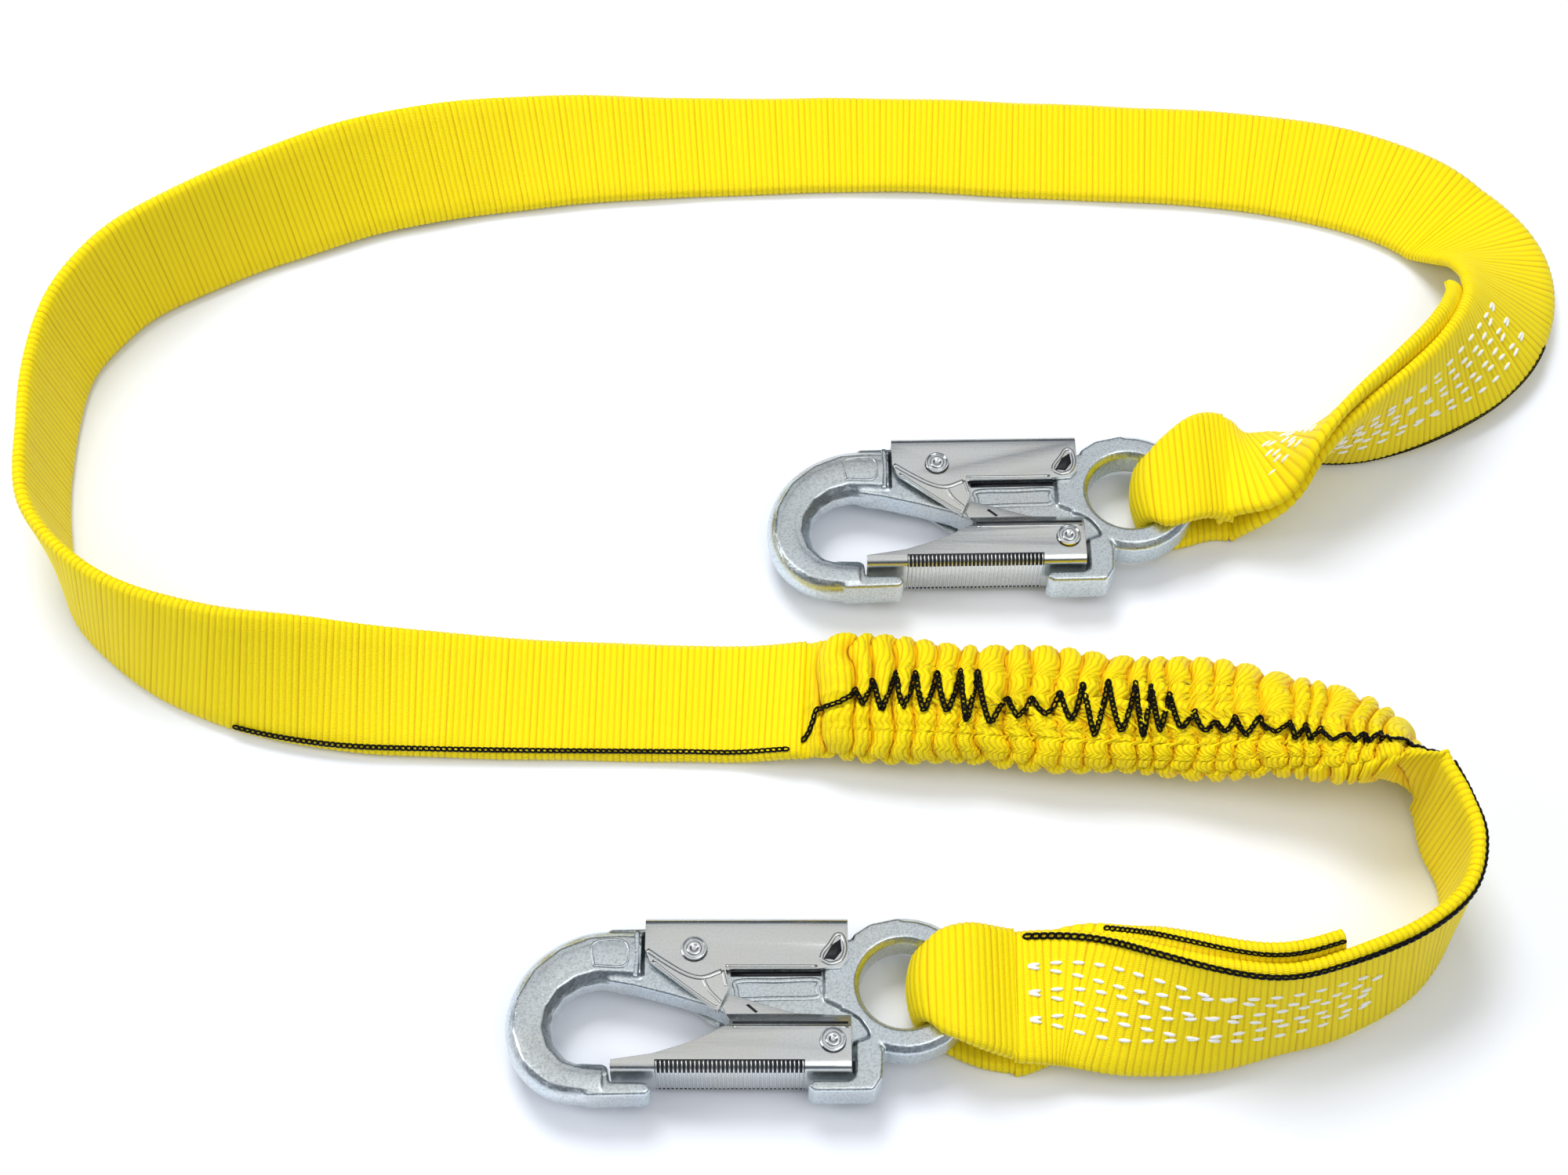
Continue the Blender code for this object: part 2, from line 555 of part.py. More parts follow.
def add_loop(place, name, material):
    """A webbing loop through a hook's eye, from its lower layer round to its upper one."""
    rows = catmull_rom([(x, z, half) for x, z, half in LOOP_SIDE], 5.0)
    rings = []
    for k, (x, z, half) in enumerate(rows):
        before, after = rows[max(k - 1, 0)], rows[min(k + 1, len(rows) - 1)]
        rise = 0.0 if k in (0, len(rows) - 1) else after[1] - before[1]
        along = Vector((after[0] - before[0], 0.0, rise)).normalized()
        face = Vector((along.z, 0.0, -along.x))
        drift = ease_in((x - EYE[0] - 6.0) / 27.0) * LOOP_SHIFT[place]
        spot = Vector((x, EYE[1] + drift, z))
        rings.append([spot + Vector((0.0, a, 0.0)) + face * b for a, b in flat_section(half * 2.0, LOOP_THICK)])
    obj = loft(rings)
    obj.data.transform(hook_matrix(place))
    return finish(obj, name, material)


def surface_thread(points, width, height, name, material):
    """A flat thread along rows of (centre, face): its underside lies THREAD_GAP off the face."""
    rings = []
    for k, (centre, face) in enumerate(points):
        before, after = points[max(k - 1, 0)][0], points[min(k + 1, len(points) - 1)][0]
        side = face.cross((after - before).normalized()).normalized()
        low, high = centre + face * THREAD_GAP, centre + face * (THREAD_GAP + height)
        rings.append([low + side * width / 2.0, high + side * width / 2.0,
                      high - side * width / 2.0, low - side * width / 2.0])
    return finish(loft(rings), name, material, 80.0)


def on_strip(strip, run, offset, side, thick=THICK):
    """A point on one face of a strip, offset across it."""
    centre, across, face = strip.at(run)
    return centre + across * offset + face * (side * thick / 2.0), face * side


def stitch_rows(strip, start, end, side, name, material, thick=THICK):
    """Lap stitching: one thread that runs up and down the lap in wavy rows."""
    points = []
    runs = strip.between(start, end)
    for row, offset in enumerate(STITCH_ROWS):
        for run in runs if row % 2 == 0 else reversed(runs):
            sway = STITCH_SWAY * math.sin(math.tau * 1.5 * (run - start) / (end - start) + row)
            points.append(on_strip(strip, run, offset + sway, side, thick))
    return surface_thread(points, *STITCH, name, material)


def add_webbing(materials):
    yellow, black, white = materials["yellow_webbing"], materials["black_thread"], materials["white_thread"]
    lower = Strip(LOWER_ROUTE, WIDTH, THICK, 11.0)
    upper = Strip(UPPER_ROUTE, WIDTH, THICK, 18.0)
    pack = Strip(PACK_ROUTE, PACK_WIDTH, PACK_THICK, 8.0)
    finish(loft(lower.rings(flat_section(WIDTH, THICK))), "webbing_lower", yellow)
    finish(loft(upper.rings(flat_section(WIDTH, THICK))), "webbing_upper", yellow)

    def gather(k):
        return 1.0 + (PACK_BULGE / PACK_THICK) * (1.0 if k % 2 else -1.0)

    inside = round_section(PACK_WIDTH - 2.0 * PACK_WALL, PACK_THICK - 2.0 * PACK_WALL)
    outside = round_section(PACK_WIDTH - PACK_BULGE, PACK_THICK - PACK_BULGE)
    cover = loft(pack.rings(outside, gather), inner=pack.rings(inside))
    finish(cover, "shock_pack_cover", yellow, 60.0)
    core = pack.rings(flat_section(CORE_WIDTH, CORE_THICK))[1:-1]
    finish(loft(core), "shock_pack_core", materials["core_webbing"])

    add_loop(HOOK_A_PLACE, "webbing_loop_a", yellow)
    add_loop(HOOK_B_PLACE, "webbing_loop_b", yellow)
    add_tail(lower, False, -1.0, TAIL_LENGTH_A, "webbing_tail_a", yellow)
    add_tail(upper, True, 1.0, TAIL_LENGTH_B, "webbing_tail_b", yellow)

    edge = WIDTH / 2.0 - SEAM_INSET
    seam = [on_strip(lower, s, edge, 1.0) for s in lower.between(5.0, lower.run[-1] - 4.0)]
    surface_thread(seam, *SEAM, "edge_seam_lower", black)
    seam = [on_strip(upper, s, edge, 1.0) for s in upper.between(24.0, 190.0)]
    surface_thread(seam, *SEAM, "edge_seam_upper", black)
    surface_thread(pack_zigzag(pack), *SEAM, "shock_pack_seam", black)
    tail_edge = WIDTH / 2.0 + TAIL_SHIFT - 1.8
    runs = lower.between(TAIL_CLOSE, TAIL_LENGTH_A - 2.0)
    seam = [on_strip(lower, s, tail_edge, 1.0, THICK - 2.0 * LAYER) for s in runs]
    surface_thread(seam, *SEAM, "edge_seam_tail_a", black)

    total = upper.run[-1]
    outer = THICK + 2.0 * LAYER
    stitch_rows(lower, 4.0, 120.0, 1.0, "lap_stitching_a_front", white)
    stitch_rows(lower, 26.0, TAIL_LENGTH_A - 4.0, -1.0, "lap_stitching_a_back", white, outer)
    stitch_rows(upper, total - 136.0, total - 24.0, -1.0, "lap_stitching_b_front", white)
    stitch_rows(upper, total - TAIL_LENGTH_B + 4.0, total - 26.0, 1.0, "lap_stitching_b_back", white, outer)


def spread(start, end, spacing):
    steps = max(1, round((end - start) / spacing))
    return [start + (end - start) * k / steps for k in range(steps + 1)]


def pack_zigzag(pack):
    """The pack's closing seam, which the gathers pull into a zigzag."""
    points = []
    runs = spread(4.0, pack.run[-1] - 6.0, 4.6)
    for k, s in enumerate(runs):
        centre, across, face = pack.at(s)
        angle = math.radians(52.0 + 12.0 * (1.0 if k % 2 else -1.0))
        out = across * math.cos(angle) + face * math.sin(angle)
        reach_a = PACK_WIDTH / 2.0 * math.cos(angle) ** 0.75
        reach_b = PACK_THICK / 2.0 * math.sin(angle) ** 0.8
        points.append((centre + across * reach_a + face * reach_b + out * 0.7, out.normalized()))
    return points


def main():
    for obj in list(bpy.data.objects):
        bpy.data.objects.remove(obj)
    materials = {
        "yellow_webbing": make_material("yellow_webbing", (0.95, 0.80, 0.02), 0.75),
        "core_webbing": make_material("core_webbing", (0.90, 0.88, 0.80), 0.8),
        "black_thread": make_material("black_thread", (0.02, 0.02, 0.02), 0.6),
        "white_thread": make_material("white_thread", (0.90, 0.90, 0.86), 0.6),
        "forged_zinc": make_material("forged_zinc", (0.72, 0.75, 0.78), 0.35, 1.0),
        "pressed_zinc": make_material("pressed_zinc", (0.78, 0.79, 0.80), 0.28, 1.0),
        "rivet_steel": make_material("rivet_steel", (0.75, 0.76, 0.78), 0.25, 1.0),
        "spring_steel": make_material("spring_steel", (0.45, 0.46, 0.48), 0.35, 1.0),
    }
    add_hooks(materials)
    add_webbing(materials)


main()
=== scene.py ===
"""Looks for a shock-absorbing safety lanyard: ribbed webbing, a gathered pack, sewn laps and two snap hooks.

Lengths in tables are in millimetres and are turned into metres by MM.
A hook is drawn in its own frame: X from the bend to the eye, Y from the gate to the lock lever.
"""
import math

import bmesh
import bpy
import numpy as np
from bpy.props import FloatProperty, FloatVectorProperty, IntProperty, PointerProperty
from mathutils import Matrix, Vector


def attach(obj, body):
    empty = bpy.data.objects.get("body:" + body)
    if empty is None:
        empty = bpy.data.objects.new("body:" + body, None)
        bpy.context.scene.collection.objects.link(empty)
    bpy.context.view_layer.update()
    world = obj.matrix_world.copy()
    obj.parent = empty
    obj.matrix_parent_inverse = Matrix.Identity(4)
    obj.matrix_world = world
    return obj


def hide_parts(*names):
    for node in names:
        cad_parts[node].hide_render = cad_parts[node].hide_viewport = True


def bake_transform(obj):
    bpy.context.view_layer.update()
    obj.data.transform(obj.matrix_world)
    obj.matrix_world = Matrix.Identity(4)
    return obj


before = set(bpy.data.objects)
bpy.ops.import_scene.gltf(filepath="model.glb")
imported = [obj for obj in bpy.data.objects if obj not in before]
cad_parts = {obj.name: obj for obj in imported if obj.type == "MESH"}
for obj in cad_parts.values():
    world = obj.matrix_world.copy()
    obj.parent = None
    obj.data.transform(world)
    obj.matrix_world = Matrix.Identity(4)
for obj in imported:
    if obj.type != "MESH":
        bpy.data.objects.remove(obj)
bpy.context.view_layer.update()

bl_info = {
    "name": "Shock-absorbing lanyard",
    "version": (1, 0, 0),
    "blender": (4, 5, 0),
    "location": "3D View > Sidebar > Lanyard",
    "description": "Builds the looks of a webbing lanyard with two snap hooks around its packed model",
    "category": "Object",
}

MM = 0.001
GAP = 0.3
LAYOUT_CENTRE = (8.75, 527.69)
HOOK_PLACES = {"a": (-86.3, 339.2, 0.0), "b": (-3.1, 522.6, 1.0)}
HOOK_Z = 11.6
WIDTH = 44.0
THICK = 4.2
LOOP_THICK = 3.8
LAYER = THICK + 3.0 * GAP
TAIL_SHIFT = 4.0
TAIL_CLOSE = 22.0
TAIL_LENGTH = {"a": 108.0, "b": 134.0}
SEAM_INSET = 2.4
PACK_REACH = 3.6
LOOP_REACH = 0.9
FLUSH = 14.0
PACK_WIDTH = 46.0
PACK_THICK = 20.0
GATE_PIVOT = (101.8, 0.0)
LEVER_PIVOT = (57.5, 31.5)
EYE = (124.9, 20.6)

# x, y, roll in degrees and extra lift of the webbing's middle line
LOWER_ROUTE = [
    (74.4, 356.4, 0.0, 12.6), (92.0, 355.9, 12.0, 8.0), (112.0, 350.2, 38.0, 5.2), (135.0, 346.6, 58.0, 3.6),
    (156.0, 348.0, 73.0, 2.2), (177.0, 353.6, 75.0, 1.6), (201.0, 366.0, 81.0, 1.0), (216.0, 382.4, 90.0, 0.4),
    (220.0, 399.6, 95.0, 0.2), (216.6, 413.6, 97.0, 0.4), (213.4, 425.8, 92.0, 1.2),
]
PACK_ROUTE = [
    (212.8, 427.2, 91.0, 2.2), (204.6, 436.6, 60.0, 0.3), (188.0, 446.2, 34.0, 0.3), (161.0, 454.0, 18.0, 0.3),
    (133.0, 457.6, 9.0, 0.3), (80.0, 462.0, 6.0, 0.3), (27.0, 466.4, 3.0, 0.3), (5.4, 467.6, 0.0, 4.9),
]
PACK_STEP = 0.5
UPPER_ROUTE = [
    (3.4, 467.7, 0.0, 5.0), (-16.0, 468.6, 0.0, 0.6), (-40.0, 469.2, 0.0, 0.0), (-80.0, 469.6, -3.0, 0.0),
    (-121.0, 470.2, -13.0, 0.0), (-155.0, 470.6, -30.0, 0.0), (-190.0, 474.0, -55.0, 0.0),
    (-219.0, 484.6, -72.0, 0.0), (-243.0, 503.0, -84.0, 0.0), (-256.4, 528.4, -99.0, 0.0),
    (-260.6, 560.0, -101.0, 0.0), (-260.8, 586.6, -102.0, 0.0), (-257.2, 607.6, -103.0, 0.0),
    (-248.6, 624.0, -107.0, 0.0), (-236.0, 639.0, -112.0, 0.0), (-215.6, 653.4, -117.0, 0.0),
    (-186.4, 670.0, -125.0, 0.0), (-146.0, 688.0, -139.0, 0.0), (-90.0, 702.6, -161.0, 0.0),
    (-30.0, 709.0, -177.0, 0.0), (30.0, 711.2, -180.0, 0.0), (90.0, 708.6, -180.0, 0.0),
    (150.0, 705.0, -179.0, 0.0), (188.0, 699.6, -177.0, 0.0), (221.0, 690.0, -175.0, 0.0),
    (245.0, 675.6, -178.0, 1.0), (260.0, 657.0, -191.0, 3.0), (264.4, 637.0, -206.0, 4.2),
    (260.8, 617.0, -220.0, 4.0), (251.4, 601.0, -233.0, 3.8), (238.0, 587.6, -246.0, 3.2),
    (221.0, 575.8, -259.0, 2.2), (204.0, 567.4, -274.0, 0.6), (190.0, 562.0, -292.0, 0.0),
    (180.0, 559.2, -314.0, 0.0), (170.0, 556.8, -341.0, 0.0), (157.6, 556.4, -360.0, -0.1),
]
# side view of a webbing loop through an eye, in the hook's frame: x, z, half width
LOOP_SIDE = [
    (160.0, -9.3, 22.0), (148.0, -9.3, 20.4), (138.4, -9.3, 17.4), (132.0, -8.8, 13.6), (128.6, -5.0, 12.0),
    (127.6, 0.0, 11.6), (128.4, 5.0, 12.0), (131.6, 9.2, 13.8), (137.4, 10.6, 17.8), (147.0, 10.0, 20.8),
    (160.0, 3.4, 22.0),
]
LOOP_SHIFT = {"a": -2.4, "b": 10.4}
# x where it starts and the distance it takes, for the drift to the side and for the thickening
LOOP_DRIFT = (EYE[0] + 6.0, 27.0)
LOOP_SWELL = (138.0, 18.0)
LOOP_CUP = 5.0


# ---------------------------------------------------------------- settings
def length(name, text, default, low, high):
    return FloatProperty(name=name, description=text, default=default, min=low, max=high, unit='LENGTH')


def colour(name, text, default):
    return FloatVectorProperty(name=name, description=text, subtype='COLOR', size=3, default=default)


class LanyardWebbing(bpy.types.PropertyGroup):
    rib_pitch: length("Rib pitch", "Distance from rib to rib along the webbing", 0.0022, 0.001, 0.005)
    rib_height: length("Rib height", "How far a rib stands over its valleys", 0.00042, 0.0, 0.001)
    spacing: length("Section spacing", "Distance between two sections of the webbing mesh", 0.00046, 0.0002, 0.002)
    crest: colour("Crest colour", "Colour on top of the ribs", (0.96, 0.78, 0.0))
    # the valley colour is painted shade between the ribs
    valley: colour("Valley colour", "Colour between the ribs", (0.74, 0.42, 0.0))
    # the crease colour is painted shade deep in the pack's folds
    crease: colour("Crease colour", "Colour deep in the pack's folds", (0.24, 0.07, 0.0))


class LanyardPack(bpy.types.PropertyGroup):
    folds: IntProperty(name="Folds", description="Number of gathers along the pack", default=29, min=8, max=60)
    depth: length("Fold depth", "Depth of the gathers", 0.0050, 0.0, 0.008)
    rows: IntProperty(name="Rows", description="Mesh rows along the pack", default=880, min=100, max=1200)
    columns: IntProperty(name="Columns", description="Mesh columns around the pack", default=84, min=24, max=160)


class LanyardThread(bpy.types.PropertyGroup):
    stitch_length: length("Stitch length", "Length of a white stitch", 0.0043, 0.001, 0.01)
    stitch_width: length("Stitch width", "Width of a white stitch", 0.0014, 0.0003, 0.003)
    stitch_pitch: length("Stitch pitch", "Distance from stitch to stitch", 0.0072, 0.002, 0.02)
    link_length: length("Link length", "Length of a chain stitch's loop", 0.0031, 0.001, 0.006)
    link_width: length("Link width", "Width of a chain stitch's loop", 0.0017, 0.0005, 0.005)
    link_pitch: length("Link pitch", "Distance from loop to loop", 0.0025, 0.001, 0.006)
    thread_radius: length("Thread radius", "Radius of the black thread", 0.00046, 0.0001, 0.001)
    white: colour("White thread", "Colour of the lap stitching", (1.0, 1.0, 0.97))
    black: colour("Black thread", "Colour of the chain seam", (0.003, 0.003, 0.004))


class LanyardHook(bpy.types.PropertyGroup):
    voxel: length("Voxel", "Grain of the forging's mesh", 0.00052, 0.0003, 0.002)
    forged: colour("Forged zinc", "Colour of the forged body", (0.72, 0.80, 0.84))
    pressed: colour("Pressed zinc", "Colour of the gate and the lever", (0.70, 0.725, 0.725))
    knurl_pitch: length("Knurl pitch", "Distance between the gate's grip ribs", 0.00136, 0.0005, 0.004)


class LanyardStage(bpy.types.PropertyGroup):
    lens: FloatProperty(name="Lens", description="Focal length of the camera", default=67.45, min=10.0, max=200.0)
    tilt: FloatProperty(name="Tilt", description="The camera's angle from straight down", default=math.radians(30.0),
                        subtype='ANGLE')
    floor: colour("Floor", "Colour of the floor", (0.86, 0.89, 0.96))


# ---------------------------------------------------------------- materials
class Tree:
    """Short calls for filling a node tree."""

    def __init__(self, tree):
        self.tree = tree

    def node(self, kind, links=(), **values):
        made = self.tree.nodes.new(kind)
        for key, value in values.items():
            setattr(made, key, value)
        for socket, source in links:
            self.feed(made.inputs[socket], source)
        return made

    def feed(self, socket, source):
        if isinstance(source, bpy.types.NodeSocket):
            self.tree.links.new(source, socket)
        else:
            socket.default_value = source


class Nodes(Tree):
    """Short calls for building a material's node tree."""

    def __init__(self, name):
        self.material = bpy.data.materials.new(name)
        self.material.use_nodes = True
        super().__init__(self.material.node_tree)
        self.shader = self.tree.nodes["Principled BSDF"]
        self.place = self.node("ShaderNodeTexCoord").outputs["Object"]

    def math(self, operation, a, b=0.0):
        return self.node("ShaderNodeMath", [(0, a), (1, b)], operation=operation).outputs[0]

    def add(self, a, b):
        return self.math('ADD', a, b)

    def mul(self, a, b):
        return self.math('MULTIPLY', a, b)

    def mix(self, factor, a, b):
        made = self.node("ShaderNodeMix", data_type='RGBA')
        for name, source in (("Factor", factor), ("A", a), ("B", b)):
            self.feed(next(socket for socket in made.inputs if socket.name == name and socket.enabled), source)
        return next(socket for socket in made.outputs if socket.enabled)

    def attribute(self, name):
        return self.node("ShaderNodeAttribute", attribute_name=name).outputs["Fac"]

    def noise(self, vector, scale, detail=3.0, roughness=0.55):
        return self.node("ShaderNodeTexNoise", [("Vector", vector), ("Scale", scale), ("Detail", detail),
                                                ("Roughness", roughness)]).outputs["Fac"]

    def ramp(self, factor, low, high):
        made = self.node("ShaderNodeMapRange", [("Value", factor), ("From Min", low), ("From Max", high)])
        return made.outputs["Result"]

    def bump(self, height, strength, distance):
        made = self.node("ShaderNodeBump", [("Height", height), ("Strength", strength), ("Distance", distance)])
        self.set("Normal", made.outputs["Normal"])

    def set(self, socket, value):
        self.feed(self.shader.inputs[socket], value)


def rgba(tone, scale=1.0):
    return (tone[0] * scale, tone[1] * scale, tone[2] * scale, 1.0)


YARN_PITCH, WEFT_PITCH = 0.00062, 0.00044
# tints mixed over the webbing: the warm cloud is a random tone, the lit yarn and bright speck tints are painted
# highlights, the amber slope tint is painted shade on the pack's folds
WARM_CLOUD, LIT_YARN = (1.0, 0.72, 0.0), (1.0, 0.90, 0.06)
GLINT_SPECK, SLOPE_SHADE_AMBER = (1.0, 0.93, 0.10), (0.86, 0.40, 0.0)


def webbing_material(settings):
    """Ribbed polyester: bright crests, amber valleys darkened with painted shade, fine yarns across each rib, painted
    highlights on lit yarns and bright specks, and amber painted shade on the slopes and in the creases of deep folds.
    """
    n = Nodes("ribbed_yellow_webbing")
    uv = n.node("ShaderNodeUVMap", uv_map="weave").outputs["UV"]
    split = n.node("ShaderNodeSeparateXYZ", [(0, uv)])
    rib = n.attribute("rib")
    fold = n.attribute("fold")
    along, around = split.outputs["X"], split.outputs["Y"]
    index = n.math('FLOOR', n.math('DIVIDE', along, settings.rib_pitch))
    shift = n.mul(index, 0.5)
    yarn = n.math('SINE', n.mul(n.add(n.math('DIVIDE', around, YARN_PITCH), shift), math.tau))
    weft = n.math('SINE', n.mul(n.math('DIVIDE', along, WEFT_PITCH), math.tau))
    cloud = n.noise(n.place, 38.0, 3.0)
    speck = n.noise(n.place, 2600.0, 2.0)
    # the valley colour between the ribs is painted shade
    tone = n.mix(n.ramp(rib, 0.10, 0.72), rgba(settings.valley), rgba(settings.crest))
    # layers: a random warm cloud, painted highlights on lit yarns and bright specks, then painted shade on the folds'
    # slopes and in their creases
    layers = [(cloud, 0.48, 0.72, 0.16, WARM_CLOUD), (yarn, 0.45, 1.0, 0.13, LIT_YARN),
              (speck, 0.62, 0.95, 1.0, GLINT_SPECK), (fold, 0.80, 0.24, 0.55, SLOPE_SHADE_AMBER),
              (fold, 0.24, 0.02, 1.0, settings.crease)]
    for source, low, high, share, shade in layers:
        tone = n.mix(n.mul(n.ramp(source, low, high), share), tone, rgba(shade))
    n.set("Base Color", tone)
    n.set("Roughness", n.ramp(n.add(yarn, n.mul(cloud, 0.8)), 2.6, -1.2))
    n.set("Specular IOR Level", 0.24)
    n.set("Sheen Weight", 0.03)
    n.set("Sheen Roughness", 0.4)
    height = n.add(n.mul(yarn, 0.5), n.mul(weft, 0.22))
    height = n.add(height, n.mul(speck, 0.8))
    n.bump(height, 0.55, 0.00016)
    return n.material


def thread_material(name, tone, gloss, shine=0.5):
    """Twisted sewing thread with a fine diagonal lay."""
    n = Nodes(name)
    fibre = n.noise(n.place, 3200.0, 2.0)
    lay = n.node("ShaderNodeTexWave", [("Vector", n.place), ("Scale", 700.0), ("Distortion", 2.0)],
                 bands_direction='DIAGONAL').outputs["Fac"]
    n.set("Base Color", n.mix(n.ramp(fibre, 0.35, 0.75), rgba(tone, 0.88), rgba(tone)))
    n.set("Roughness", n.ramp(lay, 0.0 - gloss, 1.6))
    n.set("Specular IOR Level", shine)
    n.bump(n.add(lay, n.mul(fibre, 0.6)), 0.5, 0.00012)
    return n.material


def zinc_material(name, colour, grain, rough, streak=0.0, tint=(0.76, 0.78, 0.77)):
    """Zinc plating over steel: grain from the forging or fine rolling streaks, with faint warm and cool patches."""
    n = Nodes(name)
    stretch = n.node("ShaderNodeMapping", [("Vector", n.place), ("Scale", (60.0, 1400.0, 900.0))]).outputs[0]
    lines = n.noise(stretch, 1.0, 3.0)
    patch = n.noise(n.place, 45.0, 4.0)
    pit = n.noise(n.place, 1300.0, 4.0, 0.62)
    coarse = n.noise(n.place, 420.0, 3.0)
    tone = n.mix(n.ramp(patch, 0.40, 0.72), rgba(colour), rgba(tint))
    tone = n.mix(n.mul(n.ramp(pit, 0.56, 0.36), 0.55 * grain), tone, rgba(colour, 0.42))
    n.set("Base Color", tone)
    n.set("Metallic", 1.0)
    wander = n.add(n.mul(pit, 0.30 * grain), n.mul(patch, 0.14))
    wander = n.add(wander, n.mul(lines, 0.14 * streak))
    n.set("Roughness", n.add(wander, rough - 0.12))
    height = n.add(n.mul(pit, grain), n.mul(coarse, grain * 0.9))
    height = n.add(height, n.mul(lines, streak * 0.35))
    n.bump(height, 0.42, 0.00022)
    return n.material


def floor_material(colour):
    """A pale matt sheet, with a hardly visible mottle."""
    n = Nodes("pale_floor")
    n.set("Base Color", n.mix(n.noise(n.place, 3.0), rgba(colour), rgba(colour, 0.985)))
    n.set("Roughness", 0.9)
    n.set("Specular IOR Level", 0.1)
    return n.material


def painted_shade_material():
    """Near-black colour for the sheets of painted shade laid in deep grooves and gaps between the plates."""
    n = Nodes("recess_black")
    n.set("Base Color", n.mix(n.noise(n.place, 900.0), rgba((0.004, 0.005, 0.007)), rgba((0.016, 0.018, 0.022))))
    n.set("Roughness", 0.5)
    return n.material


FINISHES = {}


def finish_of(name):
    """Each finish is made once, when it is first used."""
    scene = bpy.context.scene
    if name not in FINISHES:
        hook, thread = scene.lanyard_hook, scene.lanyard_thread
        makers = {
            "webbing": lambda: webbing_material(scene.lanyard_webbing),
            "white_thread": lambda: thread_material("white_stitch_thread", thread.white, -0.55),
            "black_thread": lambda: thread_material("black_chain_thread", thread.black, -0.60, 0.12),
            "forged": lambda: zinc_material("forged_zinc_plate", hook.forged, 0.9, 0.24),
            "pressed": lambda: zinc_material("pressed_zinc_plate", hook.pressed, 0.18, 0.20, 1.0,
                                             (0.72, 0.72, 0.68)),
            "rivet": lambda: zinc_material("rolled_rivet_steel", (0.74, 0.76, 0.77), 0.06, 0.20),
            "spring": lambda: zinc_material("dark_spring_wire", (0.34, 0.35, 0.37), 0.3, 0.34),
            "dark_shade": painted_shade_material,
        }
        FINISHES[name] = makers[name]()
    return FINISHES[name]


# ---------------------------------------------------------------- curves and sections
# share, length over a turn and shift by the seed
WAVES = ((0.5, 17.0, 1.0), (0.3, 7.3, 2.1), (0.2, 31.0, 0.7))
EDGE_PLAY = 0.012
RIB_ROUND = 0.7


def smooth(value):
    value = np.clip(value, 0.0, 1.0)
    return value * value * (3.0 - 2.0 * value)


def catmull_rom(points, per_span=40):
    """A dense smooth row through points of any dimension."""
    p = np.array(points, float)
    p = np.vstack([2.0 * p[0] - p[1], p, 2.0 * p[-1] - p[-2]])
    t = np.linspace(0.0, 1.0, per_span, endpoint=False)[:, None]
    rows = []
    for k in range(1, len(p) - 2):
        a, b, c, d = p[k - 1], p[k], p[k + 1], p[k + 2]
        rows.append(0.5 * (2 * b + (c - a) * t + (2 * a - 5 * b + 4 * c - d) * t ** 2
                           + (3 * b - a - 3 * c + d) * t ** 3))
    return np.vstack(rows + [p[-2][None, :]])


def unit(v):
    return v / np.maximum(np.linalg.norm(v, axis=-1, keepdims=True), 1e-12)


def run_of(points):
    return np.concatenate([[0.0], np.cumsum(np.linalg.norm(np.diff(points, axis=0), axis=1))])


def resample(run, rows, at):
    return np.stack([np.interp(at, run, rows[:, k]) for k in range(rows.shape[1])], axis=1)


class Strip:
    """A webbing's middle line in millimetres, with the directions across it and out of its face."""

    def __init__(self, route, width, step, thickness=None):
        rows = catmull_rom(route)
        flat = np.gradient(rows[:, :2], axis=0)
        tangent = unit(np.column_stack([flat, np.zeros(len(flat))]))
        rough_run = run_of(rows[:, :2])
        t = thickness(rough_run / rough_run[-1]) if thickness else np.full(len(rows), THICK)
        turn = np.radians(rows[:, 2])
        left = np.column_stack([-tangent[:, 1], tangent[:, 0], np.zeros(len(rows))])
        up = np.array([0.0, 0.0, 1.0])
        across = left * np.cos(turn)[:, None] + up * np.sin(turn)[:, None]
        height = (width * np.abs(np.sin(turn)) + t * np.abs(np.cos(turn))) / 2.0 + GAP + rows[:, 3]
        centre = np.column_stack([rows[:, 0] - LAYOUT_CENTRE[0], rows[:, 1] - LAYOUT_CENTRE[1], height])
        run = run_of(centre)
        count = max(8, int(round(run[-1] / step)))
        self.run = np.linspace(0.0, run[-1], count + 1)
        self.centre = resample(run, centre, self.run)
        self.across = unit(resample(run, across, self.run))
        self.along = unit(np.gradient(self.centre, axis=0))
        face = unit(resample(run, np.cross(tangent, across), self.run))
        self.face = unit(face - self.along * np.sum(face * self.along, axis=1)[:, None])
        self.length = run[-1]

    def stretched(self, before, after):
        """Rows that run straight on past both ends."""
        run = np.arange(-before, self.length + after, self.run[1])
        centre, across, face = self.at(np.clip(run, 0.0, self.length))
        past = np.minimum(run, 0.0) + np.maximum(run - self.length, 0.0)
        tangent = np.where((run < 0.0)[:, None], self.along[0], self.along[-1])
        return run, centre + tangent * past[:, None], across, face

    def at(self, run):
        run = np.atleast_1d(run)
        return (resample(self.run, self.centre, run), unit(resample(self.run, self.across, run)),
                unit(resample(self.run, self.face, run)))


def flat_section(half, thick, columns=9):
    """Pressed-flat tubular webbing: (across, face) points round it, with outward directions."""
    side = thick / 2.0
    inner = half - side
    points = []
    for sign in (1.0, -1.0):
        points += [(sign * (inner - 2.0 * inner * k / (columns - 1)), sign * side) for k in range(columns)]
        for k in (1, 2):
            angle = math.radians(sign * 90.0 + 60.0 * k)
            points.append((-sign * inner + side * math.cos(angle), side * math.sin(angle)))
    points = np.array(points)
    core = np.column_stack([np.clip(points[:, 0], -inner, inner), np.zeros(len(points))])
    return points, unit(points - core)


